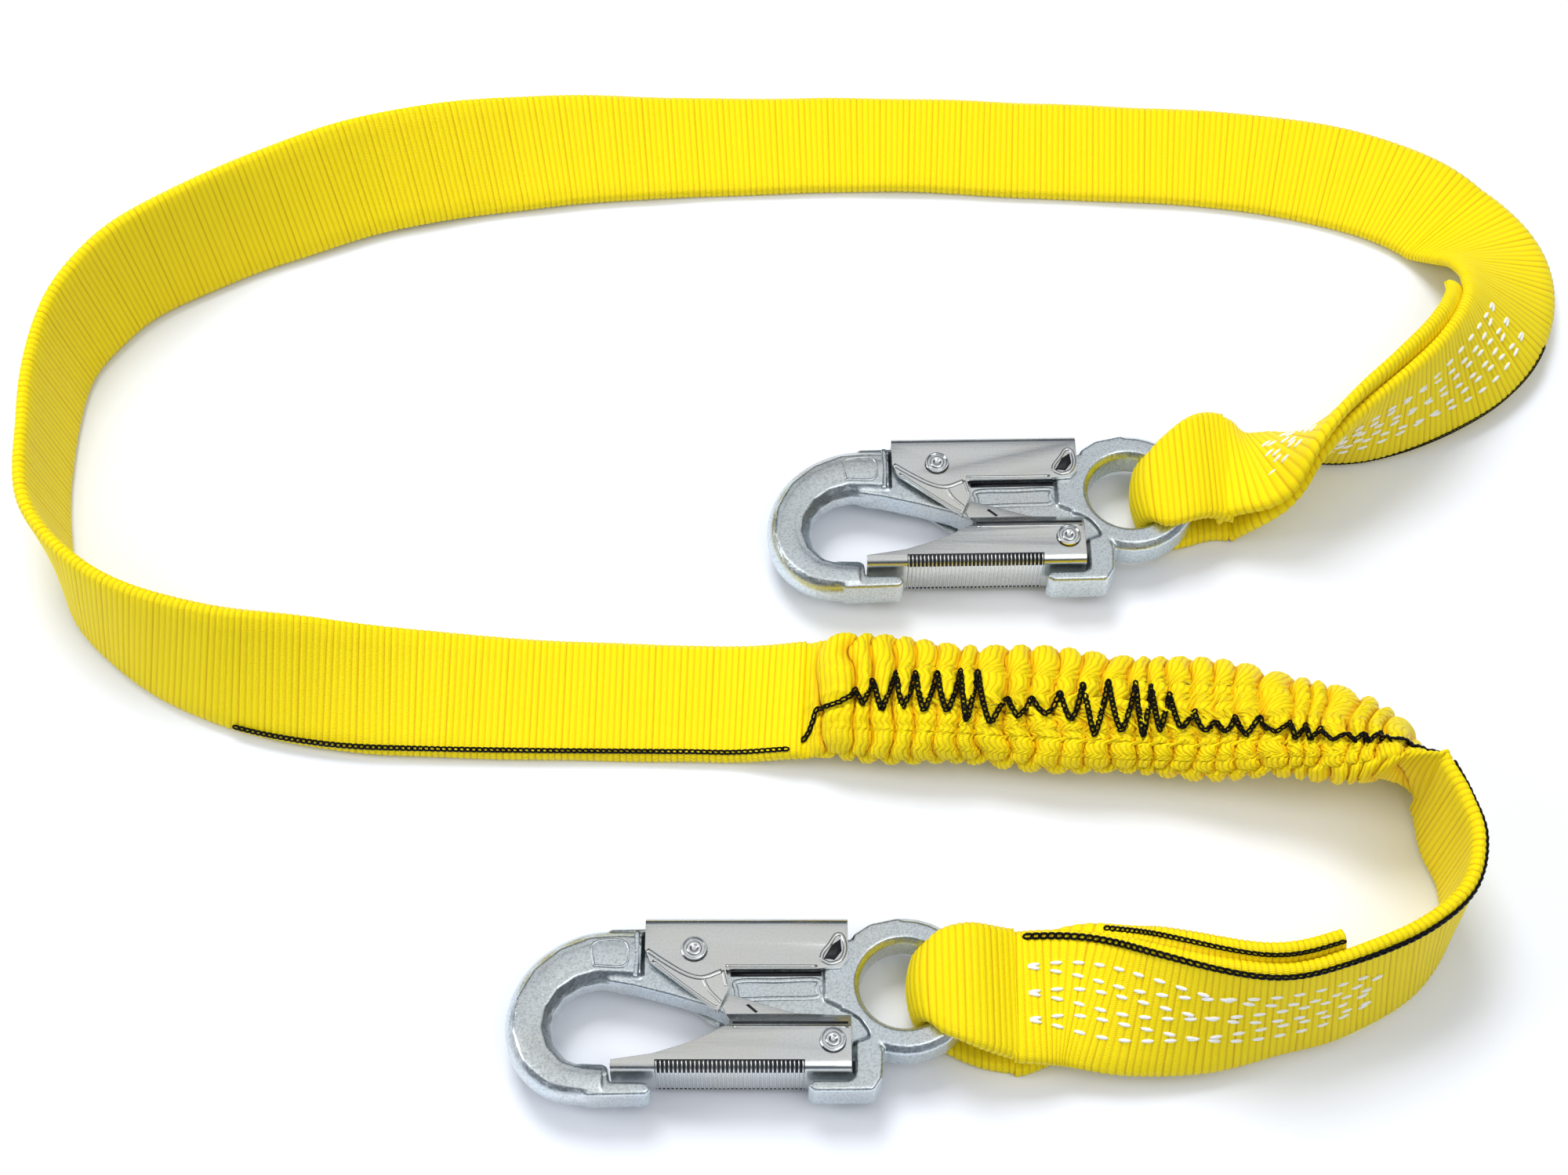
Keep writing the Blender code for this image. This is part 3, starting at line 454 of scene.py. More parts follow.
def skin(name, points, uv_u, uv_v, attributes):
    """A closed-round mesh over a grid of rows (along) by columns (round), with its weave map and point attributes."""
    rows, columns = points.shape[:2]
    index = np.arange(rows * columns).reshape(rows, columns)
    a, b = index[:-1], index[1:]
    a2, b2 = np.roll(a, -1, axis=1), np.roll(b, -1, axis=1)
    quads = np.stack([a, a2, b2, b], axis=-1).reshape(-1, 4)
    vertices = points.reshape(-1, 3) * MM
    mesh = bpy.data.meshes.new(name)
    ends = [index[0][::-1].tolist(), index[-1].tolist()]
    mesh.from_pydata(vertices.tolist(), [], quads.tolist() + ends)
    layer = mesh.uv_layers.new(name="weave")
    uv = np.zeros((len(mesh.loops), 2))
    v = np.append(uv_v, 2.0 * uv_v[-1] - uv_v[-2])
    corner_v = np.stack([v[:-1], v[1:], v[1:], v[:-1]], axis=-1)
    near, far = np.repeat(uv_u[:-1], columns), np.repeat(uv_u[1:], columns)
    uv[:len(quads) * 4, 0] = np.stack([near, near, far, far], axis=-1).ravel() * MM
    uv[:len(quads) * 4, 1] = np.tile(corner_v, (rows - 1, 1, 1)).ravel() * MM
    layer.data.foreach_set("uv", uv.ravel())
    for key, values in attributes.items():
        made = mesh.attributes.new(key, 'FLOAT', 'POINT')
        made.data.foreach_set("value", np.broadcast_to(values, (rows, columns)).astype(np.float32).ravel())
    return place_mesh(name, mesh, finish_of("webbing"), outward=True)


def paint(mesh, material):
    mesh.materials.clear()
    mesh.materials.append(material)


def place_mesh(name, mesh, material, outward=False):
    """Puts a finished mesh in the scene under its piece name."""
    if outward:
        bm = bmesh.new()
        bm.from_mesh(mesh)
        bmesh.ops.recalc_face_normals(bm, faces=bm.faces)
        bm.to_mesh(mesh)
        bm.free()
    paint(mesh, material)
    mesh.shade_smooth()
    return loose_object(name, mesh)


def keep(obj, body, slot, *nodes):
    """Says which body a piece rides and which nodes it stands for. slot is not used."""
    if body:
        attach(obj, body)
    if nodes:
        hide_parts(*nodes)


def mesh_from(bm, name):
    mesh = bpy.data.meshes.new(name)
    bm.to_mesh(mesh)
    bm.free()
    return mesh


def joined(parts, name):
    """One mesh from several closed parts."""
    bm = bmesh.new()
    for part in parts:
        piece = mesh_from(part, "part")
        bm.from_mesh(piece)
        bpy.data.meshes.remove(piece)
    return mesh_from(bm, name)


def rib_wave(run, pitch):
    """0 in a valley and 1 on a crest, rounded on top."""
    return np.abs(np.sin(np.pi * run / pitch)) ** RIB_ROUND


def wander(run, seed):
    """A slow smooth wave with no repeat over the lanyard's length."""
    return sum(share * np.sin(run / span + turn * seed) for share, span, turn in WAVES)


def squared(value, power):
    """Pushes a sine or cosine outward, for a section between an ellipse and a rectangle."""
    return np.sign(value) * np.abs(value) ** power


def spacing():
    return bpy.context.scene.lanyard_webbing.spacing / MM


def webbing_sweep(name, run, centre, across, face, half, thick, cup=0.0, seed=0.0, dent=0.35, swell=1.0):
    """Ribbed webbing along a line. half is the half width at each row, cup lifts both edges out of the face."""
    settings = bpy.context.scene.lanyard_webbing
    pitch, tall = settings.rib_pitch / MM, settings.rib_height / MM
    base, out = flat_section(WIDTH / 2.0, thick)
    half, cup, swell = (np.broadcast_to(value, run.shape)[:, None] for value in (half, cup, swell))
    rib = rib_wave(run, pitch)[:, None]
    share = (base[:, 0] / (WIDTH / 2.0))[None, :]
    edge_play = 1.0 + EDGE_PLAY * wander(run, seed)[:, None] * np.sign(share)
    side = base[:, 0] * (half / (WIDTH / 2.0)) * edge_play + out[:, 0] * (rib * tall)
    lift = base[:, 1] * swell + out[:, 1] * (rib * tall) + cup * share ** 2
    ends = dent * smooth((run - run[0]) / FLUSH) * smooth((run[-1] - run) / FLUSH)
    lift = lift + ends[:, None] * (wander(run, seed + 1.0)[:, None] * share
                                   + wander(run * 1.7, seed + 2.0)[:, None] * (1.0 - share ** 2))
    points = centre[:, None, :] + across[:, None, :] * side[..., None] + face[:, None, :] * lift[..., None]
    return skin(name, points, run, run_of(base), {"rib": rib, "fold": np.ones((1, 1))})


def hook_matrix(letter):
    x, y, turn = HOOK_PLACES[letter]
    spot = Vector(((x - LAYOUT_CENTRE[0]) * MM, (y - LAYOUT_CENTRE[1]) * MM, HOOK_Z * MM))
    return Matrix.Translation(spot) @ Matrix.Rotation(math.radians(turn), 4, 'Z')


# ---------------------------------------------------------------- the webbing
STRIPS = {}


def pack_share(t):
    """How full the pack is along its length: flat webbing at both ends, full in between."""
    return np.minimum(smooth(t / 0.085), smooth((1.0 - t) / 0.075))


def strip_of(name):
    """Each line is made once, when it is first used."""
    if name not in STRIPS:
        if name == "pack":
            STRIPS[name] = Strip(PACK_ROUTE, PACK_WIDTH - 1.5, PACK_STEP,
                                 lambda t: THICK + (PACK_THICK - THICK) * pack_share(t))
        else:
            STRIPS[name] = Strip({"lower": LOWER_ROUTE, "upper": UPPER_ROUTE}[name], WIDTH, spacing())
    return STRIPS[name]


class LANYARD_OT_straps(bpy.types.Operator):
    """Weave the lower and upper legs of the webbing along their routes"""
    bl_idname = "lanyard.straps"
    bl_label = "Webbing legs"

    def execute(self, context):
        upper, lower = strip_of("upper"), strip_of("lower")
        leg = webbing_sweep("webbing_upper_leg", *upper.stretched(PACK_REACH, LOOP_REACH), WIDTH / 2.0, THICK,
                            seed=0.4, dent=0.5)
        keep(leg, "webbing", "yellow_webbing", "webbing_upper")
        leg = webbing_sweep("webbing_lower_leg", *lower.stretched(LOOP_REACH, PACK_REACH), WIDTH / 2.0, THICK,
                            seed=2.3)
        keep(leg, "webbing", "yellow_webbing", "webbing_lower")
        return {'FINISHED'}


def tail_rows(letter):
    """A folded-back tail's rows: run from the loop, middle line, across and face."""
    strip = strip_of("lower" if letter == "a" else "upper")
    side = -1.0 if letter == "a" else 1.0
    s = np.arange(0.0, TAIL_LENGTH[letter], spacing())
    run = s if letter == "a" else strip.length - s
    centre, across, face = strip.at(run)
    close = smooth(s / TAIL_CLOSE)
    opening = LOOP_SIDE[-1][1] - LOOP_SIDE[0][1]
    lift = LAYER * close + (1.0 - close) * opening
    middle = centre + face * (side * lift)[:, None] + across * (TAIL_SHIFT * close)[:, None]
    return s, middle, across, face * side


class LANYARD_OT_laps(bpy.types.Operator):
    """Fold the webbing back on itself at both ends and loop it through the eyes"""
    bl_idname = "lanyard.laps"
    bl_label = "Laps and loops"

    def execute(self, context):
        for letter in "ab":
            s, middle, across, face = tail_rows(letter)
            tail = webbing_sweep("webbing_tail_%s_ribbed" % letter, s, middle, across, face, WIDTH / 2.0, THICK,
                                 seed=3.1, dent=0.15)
            keep(tail, "webbing", "yellow_webbing", "webbing_tail_" + letter)
            self.loop(letter)
        return {'FINISHED'}

    def loop(self, letter):
        rows = catmull_rom(LOOP_SIDE)
        line = rows[:, :2]
        rows[0], rows[-1] = rows[1], rows[-2]
        rows[0, 0], rows[-1, 0] = rows[1, 0] + LOOP_REACH, rows[-2, 0] + LOOP_REACH
        run = run_of(line)
        at = np.arange(0.0, run[-1], spacing())
        rows = resample(run, rows, np.append(at, run[-1]))
        run = np.append(at, run[-1])
        along = unit(np.gradient(rows[:, :2], axis=0))
        matrix = np.array(hook_matrix(letter))
        turn = matrix[:3, :3]
        drift = EYE[1] + smooth((rows[:, 0] - LOOP_DRIFT[0]) / LOOP_DRIFT[1]) * LOOP_SHIFT[letter]
        centre = np.column_stack([rows[:, 0], drift, rows[:, 1]]) @ turn.T + matrix[:3, 3] / MM
        across = np.broadcast_to(turn @ np.array([0.0, 1.0, 0.0]), centre.shape)
        face = np.column_stack([along[:, 1], np.zeros(len(rows)), -along[:, 0]]) @ turn.T
        squeeze = 1.0 - rows[:, 2] / (WIDTH / 2.0)
        loop = webbing_sweep("webbing_loop_%s_ribbed" % letter, run, centre, across, face, rows[:, 2], LOOP_THICK,
                             cup=squeeze * LOOP_CUP, seed=1.7, dent=0.1,
                             swell=1.0 + (THICK / LOOP_THICK - 1.0)
                             * smooth((rows[:, 0] - LOOP_SWELL[0]) / LOOP_SWELL[1]))
        keep(loop, None, "yellow_webbing", "webbing_loop_" + letter)
        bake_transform(loop)


# ---------------------------------------------------------------- the shock pack
# share of the pack's length, and the seam's middle and its swing there
SEAM_DRIFT = ((0.0, 0.05, 0.17, 0.27, 0.37, 0.43, 0.55, 0.62, 0.67, 0.73, 0.86, 0.92, 0.96, 1.0),
              (18.5, 17.0, 15.0, 11.0, 10.0, 4.0, 4.0, 5.0, 7.0, 2.0, 1.5, 6.0, 10.0, 18.5))
SEAM_REACH = ((0.0, 0.05, 0.17, 0.27, 0.37, 0.43, 0.55, 0.62, 0.67, 0.72, 0.80, 0.88, 0.92, 1.0),
              (0.0, 3.0, 2.8, 4.4, 3.4, 11.0, 10.4, 4.4, 4.4, 9.6, 9.2, 7.4, 3.4, 0.0))


# ranges that the gathers' widths, depths and seam swings are drawn from
FOLD_WIDTHS, FOLD_SIZES, FOLD_SWINGS = (0.62, 1.45), (0.72, 1.18), (0.62, 1.14)
# powers of the section, across and up
PACK_POWERS = (0.78, 0.82)


def crease_wave(p, power):
    """1 at the whole numbers and 0 half-way between them."""
    return np.abs(2.0 * (p - np.floor(p)) - 1.0) ** power


def pack_half(full):
    """The outline's half width where the pack is that full."""
    return WIDTH / 2.0 + (PACK_WIDTH / 2.0 - WIDTH / 2.0) * full


class Pack:
    """The gathered cover as a surface: a run along the pack and a distance round it give a point."""

    def __init__(self):
        settings = bpy.context.scene.lanyard_pack
        self.strip = strip_of("pack")
        self.depth = settings.depth / MM
        self.folds = settings.folds
        draw = np.random.default_rng(11)
        widths = draw.uniform(*FOLD_WIDTHS, self.folds)
        edges = np.concatenate([[0.0], np.cumsum(widths)])
        self.edges = edges / edges[-1] * self.strip.length
        self.sizes = draw.uniform(*FOLD_SIZES, self.folds + 2)
        self.swings = draw.uniform(*FOLD_SWINGS, self.folds + 2)

    def phase(self, run):
        return np.interp(run, self.edges, np.arange(self.folds + 1))

    def size(self, p, sizes):
        return np.interp(p, np.arange(self.folds + 2) - 0.5, sizes)

    def seam(self, run):
        """The seam's offset across the pack. It goes up and down once in each gather."""
        p = self.phase(run)
        t = run / self.strip.length
        wave = crease_wave(p, 1.5)
        return np.interp(t, *SEAM_DRIFT) + (1.0 - wave * 2.0) * self.size(p, self.swings) * np.interp(t, *SEAM_REACH)

    def section(self, run, angle):
        """Across and face offsets of the smooth outline, with its outward direction."""
        full = pack_share(run / self.strip.length)
        a = pack_half(full)
        b = THICK / 2.0 + (PACK_THICK / 2.0 - THICK / 2.0 + 0.6) * full
        x = a * squared(np.cos(angle), PACK_POWERS[0])
        y = b * squared(np.sin(angle), PACK_POWERS[1])
        nx, ny = x / a ** 2, y / b ** 2
        size = np.maximum(np.hypot(nx, ny), 1e-9)
        return x, y, nx / size, ny / size, full

    def fold(self, run, angle):
        """1 on a gather's crest and 0 in its crease, with the distance from the seam."""
        x, y, _, _, full = self.section(run, angle)
        reach = np.where(y >= 0.0, x - self.seam(run), 60.0)
        round_share = (angle % math.tau) / math.tau
        lean = 0.13 * np.sin(angle * 2.0 + 0.7) + 0.07 * np.sin(angle * 3.0 + run / 19.0)
        lean = lean + 0.10 * np.sin(angle * 5.0 + run / 8.0) * full
        p = self.phase(run) + lean - 0.5 * smooth((round_share - 0.55) / 0.43)
        crest = 1.0 - crease_wave(p, 2.6)
        # near the seam each gather splits in two
        split = crease_wave(2.0 * p + 0.35 * np.sin(angle * 7.0), 3.0)
        return crest - 0.42 * split * np.exp(-(reach / 8.0) ** 2), self.size(p, self.sizes), reach

    def point(self, run, angle, extra=0.0, sink=1.0):
        """A point of the cover, lifted by extra. sink is the share of the fold's depth that is followed."""
        x, y, nx, ny, full = self.section(run, angle)
        crest, size, reach = self.fold(run, angle)
        drop = -(1.0 - crest) * self.depth * size * full * (0.55 + 0.45 * np.abs(np.sin(angle)))
        drop = drop - 1.5 * full * np.exp(-(reach / 2.4) ** 2)
        puff = 0.9 * full * np.sin(run / 9.0 + 2.0 * angle) * np.abs(np.cos(angle))
        d = sink * drop + puff + extra
        centre, across, face = self.strip.at(run)
        return centre + across * (x + nx * d)[:, None] + face * (y + ny * d)[:, None], np.maximum(crest, 0.0)

    def surface(self, rows, columns):
        """The cover's grid, with rows shared out along the folded length so that ribs keep their pitch."""
        settings = bpy.context.scene.lanyard_webbing
        angles = math.tau * (np.arange(columns) + 0.5) / columns
        fine = np.linspace(0.0, self.strip.length, 3200)
        points = np.zeros((rows, columns, 3))
        folds = np.zeros((rows, columns))
        lengths = []
        for k, angle in enumerate(angles):
            line, _ = self.point(fine, np.full(len(fine), angle))
            run = run_of(line)
            at = np.interp(np.linspace(0.0, run[-1], rows), run, fine)
            lengths.append(run[-1])
            at[0], at[-1] = 0.0, self.strip.length
            grid, crest = self.point(at, np.full(rows, angle))
            # the crest value is kept as the fold mask, from which the webbing material paints shade on the gathers'
            # slopes and in their creases
            points[:, k], folds[:, k] = grid, np.where(pack_share(at / self.strip.length) > 0.25, crest, 1.0)
        share = np.linspace(0.0, np.mean(lengths), rows)
        rib = rib_wave(share, settings.rib_pitch / MM)
        normal = unit(np.cross(np.roll(points, -1, axis=1) - np.roll(points, 1, axis=1),
                               np.gradient(points, axis=0)))
        outward = np.sign(np.sum(normal * (points - points.mean(axis=1, keepdims=True))))
        points = points + normal * (rib * settings.rib_height / MM)[:, None, None] * outward
        return points, folds, share, rib

    def angle_of(self, run, offset):
        """The angle on the upper side at which the outline has that offset across."""
        a = pack_half(pack_share(run / self.strip.length))
        c = np.clip(np.abs(offset) / a, 0.0, 0.995) ** (1.0 / PACK_POWERS[0])
        return np.arccos(np.sign(offset) * c)


class LANYARD_OT_pack(bpy.types.Operator):
    """Gather the shock pack's cover in folds that the seam pulls in"""
    bl_idname = "lanyard.pack"
    bl_label = "Shock pack"

    def execute(self, context):
        settings = context.scene.lanyard_pack
        pack = Pack()
        points, folds, share, rib = pack.surface(settings.rows, settings.columns)
        girth = run_of(points[settings.rows // 2])
        cover = skin("shock_pack_gathered", points, share, girth, {"rib": rib[:, None], "fold": folds})
        keep(cover, "webbing", "yellow_webbing", "shock_pack_cover", "shock_pack_core")
        return {'FINISHED'}


# ---------------------------------------------------------------- repeated pieces
def loose_object(name, mesh):
    obj = bpy.data.objects.new(name, mesh)
    bpy.context.scene.collection.objects.link(obj)
    return obj


def apply_modifiers(obj):
    """The object's final mesh. The object itself is removed."""
    graph = bpy.context.evaluated_depsgraph_get()
    mesh = bpy.data.meshes.new_from_object(obj.evaluated_get(graph))
    bpy.data.objects.remove(obj)
    return mesh


def guide_mesh(points, along, face):
    """Guide points with the turn that lays a stamp's X along the thread and its Z out of the cloth."""
    x = unit(along)
    z = unit(face - x * np.sum(face * x, axis=1)[:, None])
    y = np.cross(z, x)
    mesh = bpy.data.meshes.new("guide")
    mesh.from_pydata((points * MM).tolist(), [], [])
    turn = mesh.attributes.new("turn", 'FLOAT_VECTOR', 'POINT')
    turns = [Matrix(np.column_stack([x[k], y[k], z[k]]).tolist()).to_euler()[:] for k in range(len(points))]
    turn.data.foreach_set("vector", np.array(turns, np.float32).ravel())
    return loose_object("guide", mesh)


def geometry_tree(name, **sizes):
    """An empty tree with named sizes and a material to feed, and its entry sockets."""
    group = bpy.data.node_groups.new(name, 'GeometryNodeTree')
    group.interface.new_socket("Geometry", in_out='INPUT', socket_type='NodeSocketGeometry')
    for key, default in sizes.items():
        kind = 'NodeSocketInt' if isinstance(default, int) else 'NodeSocketFloat'
        group.interface.new_socket(key, in_out='INPUT', socket_type=kind).default_value = default
    group.interface.new_socket("Material", in_out='INPUT', socket_type='NodeSocketMaterial')
    group.interface.new_socket("Geometry", in_out='OUTPUT', socket_type='NodeSocketGeometry')
    tree = Tree(group)
    return tree, tree.node("NodeGroupInput").outputs


def close_tree(tree, entry, shape):
    """Paints the shape and sends it out."""
    painted = tree.node("GeometryNodeSetMaterial", [("Geometry", shape), ("Material", entry["Material"])])
    tree.node("NodeGroupOutput", [(0, painted.outputs[0])])
    return tree.tree


def stamp_tree(kind):
    """Geometry Nodes that stamp a chain loop or a stitch on every guide point."""
    tree, entry = geometry_tree("stamp_" + kind, Length=0.001, Width=0.001, Thickness=0.001)
    halves = [tree.node("ShaderNodeMath", [(0, entry[key]), (1, 0.5)], operation='MULTIPLY').outputs[0]
              for key in ("Length", "Width")]
    if kind == "loop":
        outline = tree.node("GeometryNodeCurvePrimitiveCircle", [("Resolution", 10), ("Radius", 1.0)])
        size = tree.node("ShaderNodeCombineXYZ", [("X", halves[0]), ("Y", halves[1]), ("Z", 1.0)])
    else:
        outline = tree.node("GeometryNodeMeshUVSphere", [("Segments", 10), ("Rings", 6)])
        size = tree.node("ShaderNodeCombineXYZ", [("X", halves[0]), ("Y", halves[1]), ("Z", entry["Thickness"])])
    shape = tree.node("GeometryNodeTransform", [("Geometry", outline.outputs[0]), ("Scale", size.outputs[0])])
    if kind == "loop":
        profile = tree.node("GeometryNodeCurvePrimitiveCircle",
                            [("Resolution", 5), ("Radius", entry["Thickness"])])
        shape = tree.node("GeometryNodeCurveToMesh", [("Curve", shape.outputs[0]),
                                                      ("Profile Curve", profile.outputs["Curve"])])
    turn = tree.node("GeometryNodeInputNamedAttribute", [("Name", "turn")], data_type='FLOAT_VECTOR')
    turned = tree.node("FunctionNodeEulerToRotation", [(0, turn.outputs["Attribute"])])
    stamps = tree.node("GeometryNodeInstanceOnPoints", [
        ("Points", entry["Geometry"]), ("Instance", shape.outputs[0]), ("Rotation", turned.outputs[0])])
    real = tree.node("GeometryNodeRealizeInstances", [(0, stamps.outputs[0])])
    return close_tree(tree, entry, real.outputs[0])


def row_tree():
    """Geometry Nodes that repeat a bar along X."""
    tree, entry = geometry_tree("row_of_bars", Count=10, Pitch=0.001)
    offset = tree.node("ShaderNodeCombineXYZ", [("X", entry["Pitch"])])
    line = tree.node("GeometryNodeMeshLine", [("Count", entry["Count"]), ("Offset", offset.outputs[0])])
    stamps = tree.node("GeometryNodeInstanceOnPoints", [("Points", line.outputs[0]),
                                                        ("Instance", entry["Geometry"])])
    real = tree.node("GeometryNodeRealizeInstances", [(0, stamps.outputs[0])])
    return close_tree(tree, entry, real.outputs[0])


def run_tree(guide, tree, name, material, **inputs):
    """Runs a tree once on the guide and keeps the result as a plain mesh."""
    inputs["Material"] = material
    modifier = guide.modifiers.new("stamp", 'NODES')
    modifier.node_group = tree
    for item in tree.interface.items_tree:
        if item.in_out == 'INPUT' and item.name in inputs:
            modifier[item.identifier] = inputs[item.name]
    old = guide.data
    mesh = apply_modifiers(guide)
    mesh.name = name
    bpy.data.meshes.remove(old)
    return place_mesh(name, mesh, material, outward=True)


def resample_line(points, face, pitch):
    run = run_of(points)
    at = np.arange(pitch / 2.0, run[-1], pitch)
    spots = resample(run, points, at)
    along = unit(resample(run, np.gradient(points, axis=0), at))
    return spots, along, unit(resample(run, face, at))


def chain_seam(name, points, face, size=1.0):
    """A row of overlapping black thread loops along a line on the cloth."""
    thread = bpy.context.scene.lanyard_thread
    spots, along, out = resample_line(points, face, thread.link_pitch / MM * size)
    tilt = along + out * 0.16
    guide = guide_mesh(spots, tilt, out)
    return run_tree(guide, stamp_tree("loop"), name, finish_of("black_thread"), Length=thread.link_length * size,
                    Width=thread.link_width * size, Thickness=thread.thread_radius * size)


def stitching(name, rows):
    """White lock stitches along several rows of (points, faces)."""
    thread = bpy.context.scene.lanyard_thread
    parts = [resample_line(points, face, thread.stitch_pitch / MM) for points, face in rows]
    spots, along, out = (np.vstack([part[k] for part in parts]) for k in range(3))
    guide = guide_mesh(spots, along, out)
    return run_tree(guide, stamp_tree("stitch"), name, finish_of("white_thread"), Length=thread.stitch_length,
                    Width=thread.stitch_width, Thickness=thread.stitch_width * 0.42)


def strip_line(strip, runs, offset, side, height=0.0, layers=0.0):
    """A line on one face of a strip, or on the face of a layer sewn to it."""
    centre, across, face = strip.at(runs)
    lift = THICK / 2.0 + layers * LAYER + height
    offset = np.broadcast_to(offset, runs.shape)
    return centre + across * offset[:, None] + face * (side * lift), face * side


class LANYARD_OT_seams(bpy.types.Operator):
    """Run the black chain seam along the webbing's edge and over the pack"""
    bl_idname = "lanyard.seams"
    bl_label = "Black chain seams"

    def execute(self, context):
        lower, upper, pack = strip_of("lower"), strip_of("upper"), Pack()
        edge = WIDTH / 2.0 - SEAM_INSET
        pack_runs = np.linspace(1.0, pack.strip.length - 1.0, 6000)
        pack_line, _ = pack.point(pack_runs, pack.angle_of(pack_runs, pack.seam(pack_runs)), 0.8, 0.45)
        start, end = upper.length - TAIL_LENGTH["b"] + 1.0, upper.length - 30.0
        seams = [
            ("edge_seam_lower_chain", 1.0, ["edge_seam_lower"],
             strip_line(lower, np.linspace(3.0, lower.length - 0.5, 900), edge, 1.0, 0.6)),
            ("edge_seam_upper_chain", 0.8, ["edge_seam_upper"],
             strip_line(upper, np.linspace(0.5, 190.0, 600), edge + 0.4, 1.0, 0.55)),
            ("edge_seam_tail_a_chain", 0.8, ["edge_seam_tail_a"],
             strip_line(lower, np.linspace(TAIL_CLOSE, TAIL_LENGTH["a"] - 2.0, 400),
                        WIDTH / 2.0 + TAIL_SHIFT - 1.8, 1.0, 0.35 - LAYER)),
            ("shock_pack_chain", 0.86, ["shock_pack_seam"], (pack_line, pack.strip.at(pack_runs)[2])),
            ("tail_b_edge_chain", 0.6, [],
             strip_line(upper, np.linspace(start, end, 500), -WIDTH / 2.0 + 1.4, -1.0, 0.1)),
        ]
        for name, size, nodes, line in seams:
            keep(chain_seam(name, *line, size), "webbing", "black_thread", *nodes)
        return {'FINISHED'}


LAP_MIDDLES = (9.5, 0.5, -8.5)
LAP_SWAY = 2.9
STITCH_LIFT = 0.42


def lap_rows(strip, start, end, side, layers=0.0, offset=0.0):
    """Three pairs of rows that cross as they wander along a lap."""
    rows = []
    runs = np.linspace(start, end, 260)
    t = (runs - start) / (end - start)
    for k, middle in enumerate(LAP_MIDDLES):
        for sign in (1.0, -1.0):
            sway = sign * LAP_SWAY * np.sin(math.tau * (0.92 * t + 0.05 * k * t))
            across = middle * (1.0 - 0.25 * t) + sway * (1.0 - 0.2 * t) + offset
            rows.append(strip_line(strip, runs, across, side, STITCH_LIFT, layers))
    return rows


class LANYARD_OT_stitching(bpy.types.Operator):
    """Sew the laps with wandering rows of white stitches"""
    bl_idname = "lanyard.stitching"
    bl_label = "White lap stitching"

    def execute(self, context):
        lower, upper = strip_of("lower"), strip_of("upper")
        total = upper.length
        laps = [
            ("lap_stitching_a_front", lap_rows(lower, 2.0, 118.0, 1.0)),
            ("lap_stitching_a_back", lap_rows(lower, 22.0, 104.0, -1.0, 1.0, TAIL_SHIFT)),
            ("lap_stitching_b_front", lap_rows(upper, total - 132.0, total - 24.0, -1.0)),
            ("lap_stitching_b_back", lap_rows(upper, total - 130.0, total - 12.0, 1.0, 1.0, TAIL_SHIFT)),
        ]
        for node, rows in laps:
            keep(stitching(node + "_stitches", rows), "webbing", "white_thread", node)
        return {'FINISHED'}


# ---------------------------------------------------------------- the hooks
def node_mesh(node):
    """A merged copy of a CAD node's shape, in the row frame."""
    bm = bmesh.new()
    bm.from_mesh(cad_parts[node].data)
    bmesh.ops.remove_doubles(bm, verts=bm.verts, dist=1e-6)
    bmesh.ops.dissolve_limit(bm, angle_limit=math.radians(0.5), verts=bm.verts, edges=bm.edges)
    return bm


def lofted(rings):
    """A closed mesh over rings of points in metres."""
    bm = bmesh.new()
    made = [[bm.verts.new(point) for point in ring] for ring in rings]
    for near, far in zip(made, made[1:]):
        for i in range(len(near)):
            j = (i + 1) % len(near)
            bm.faces.new((near[i], near[j], far[j], far[i]))
    bm.faces.new(made[0])
    bm.faces.new(made[-1])
    bmesh.ops.recalc_face_normals(bm, faces=bm.faces)
    return bm


# the bend's middle line in the hook's frame: x, y, width
BEND = [(40.4, 30.4, 19.6), (33.0, 30.8, 19.2), (25.0, 30.6, 18.2), (17.0, 27.6, 17.0), (10.2, 22.0, 16.0),
        (5.8, 14.0, 15.2), (4.8, 5.4, 14.8), (7.6, -3.0, 14.2), (14.2, -9.4, 13.0), (22.6, -11.6, 11.4),
        (29.0, -11.8, 10.4)]


BEND_HALF = 7.4
BEND_POWERS = (0.84, 0.80)


def turns(count):
    return [math.tau * k / count for k in range(count)]


def tube(line, along, outline):
    """A closed tube along a flat line. outline gives its (across, up) points at a row."""
    return lofted([[Vector((row[0] - dy * a, row[1] + dx * a, b)) * MM for a, b in outline(row)]
                   for row, (dx, dy) in zip(line, along)])


def bend_outline(row):
    return [(row[2] / 2.0 * squared(math.cos(t), BEND_POWERS[0]), BEND_HALF * squared(math.sin(t), BEND_POWERS[1]))
            for t in turns(32)]


def bend_mesh():
    """The round forged bend, full on its inner side."""
    line = catmull_rom(BEND, 6)
    return tube(line, unit(np.gradient(line[:, :2], axis=0)), bend_outline)


def forging_mesh():
    """Hook A's body: the CAD solid joined with a rounder bend, then fused and smoothed."""
    bend = bend_mesh()
    bend.transform(hook_matrix("a"))
    base = loose_object("forging", joined([node_mesh("hook_a_body"), bend], "forging"))
    remesh = base.modifiers.new("fuse", 'REMESH')
    remesh.mode = 'VOXEL'
    remesh.voxel_size = bpy.context.scene.lanyard_hook.voxel
    relax = base.modifiers.new("relax", 'SMOOTH')
    relax.factor = 0.5
    relax.iterations = 5
    return apply_modifiers(base)


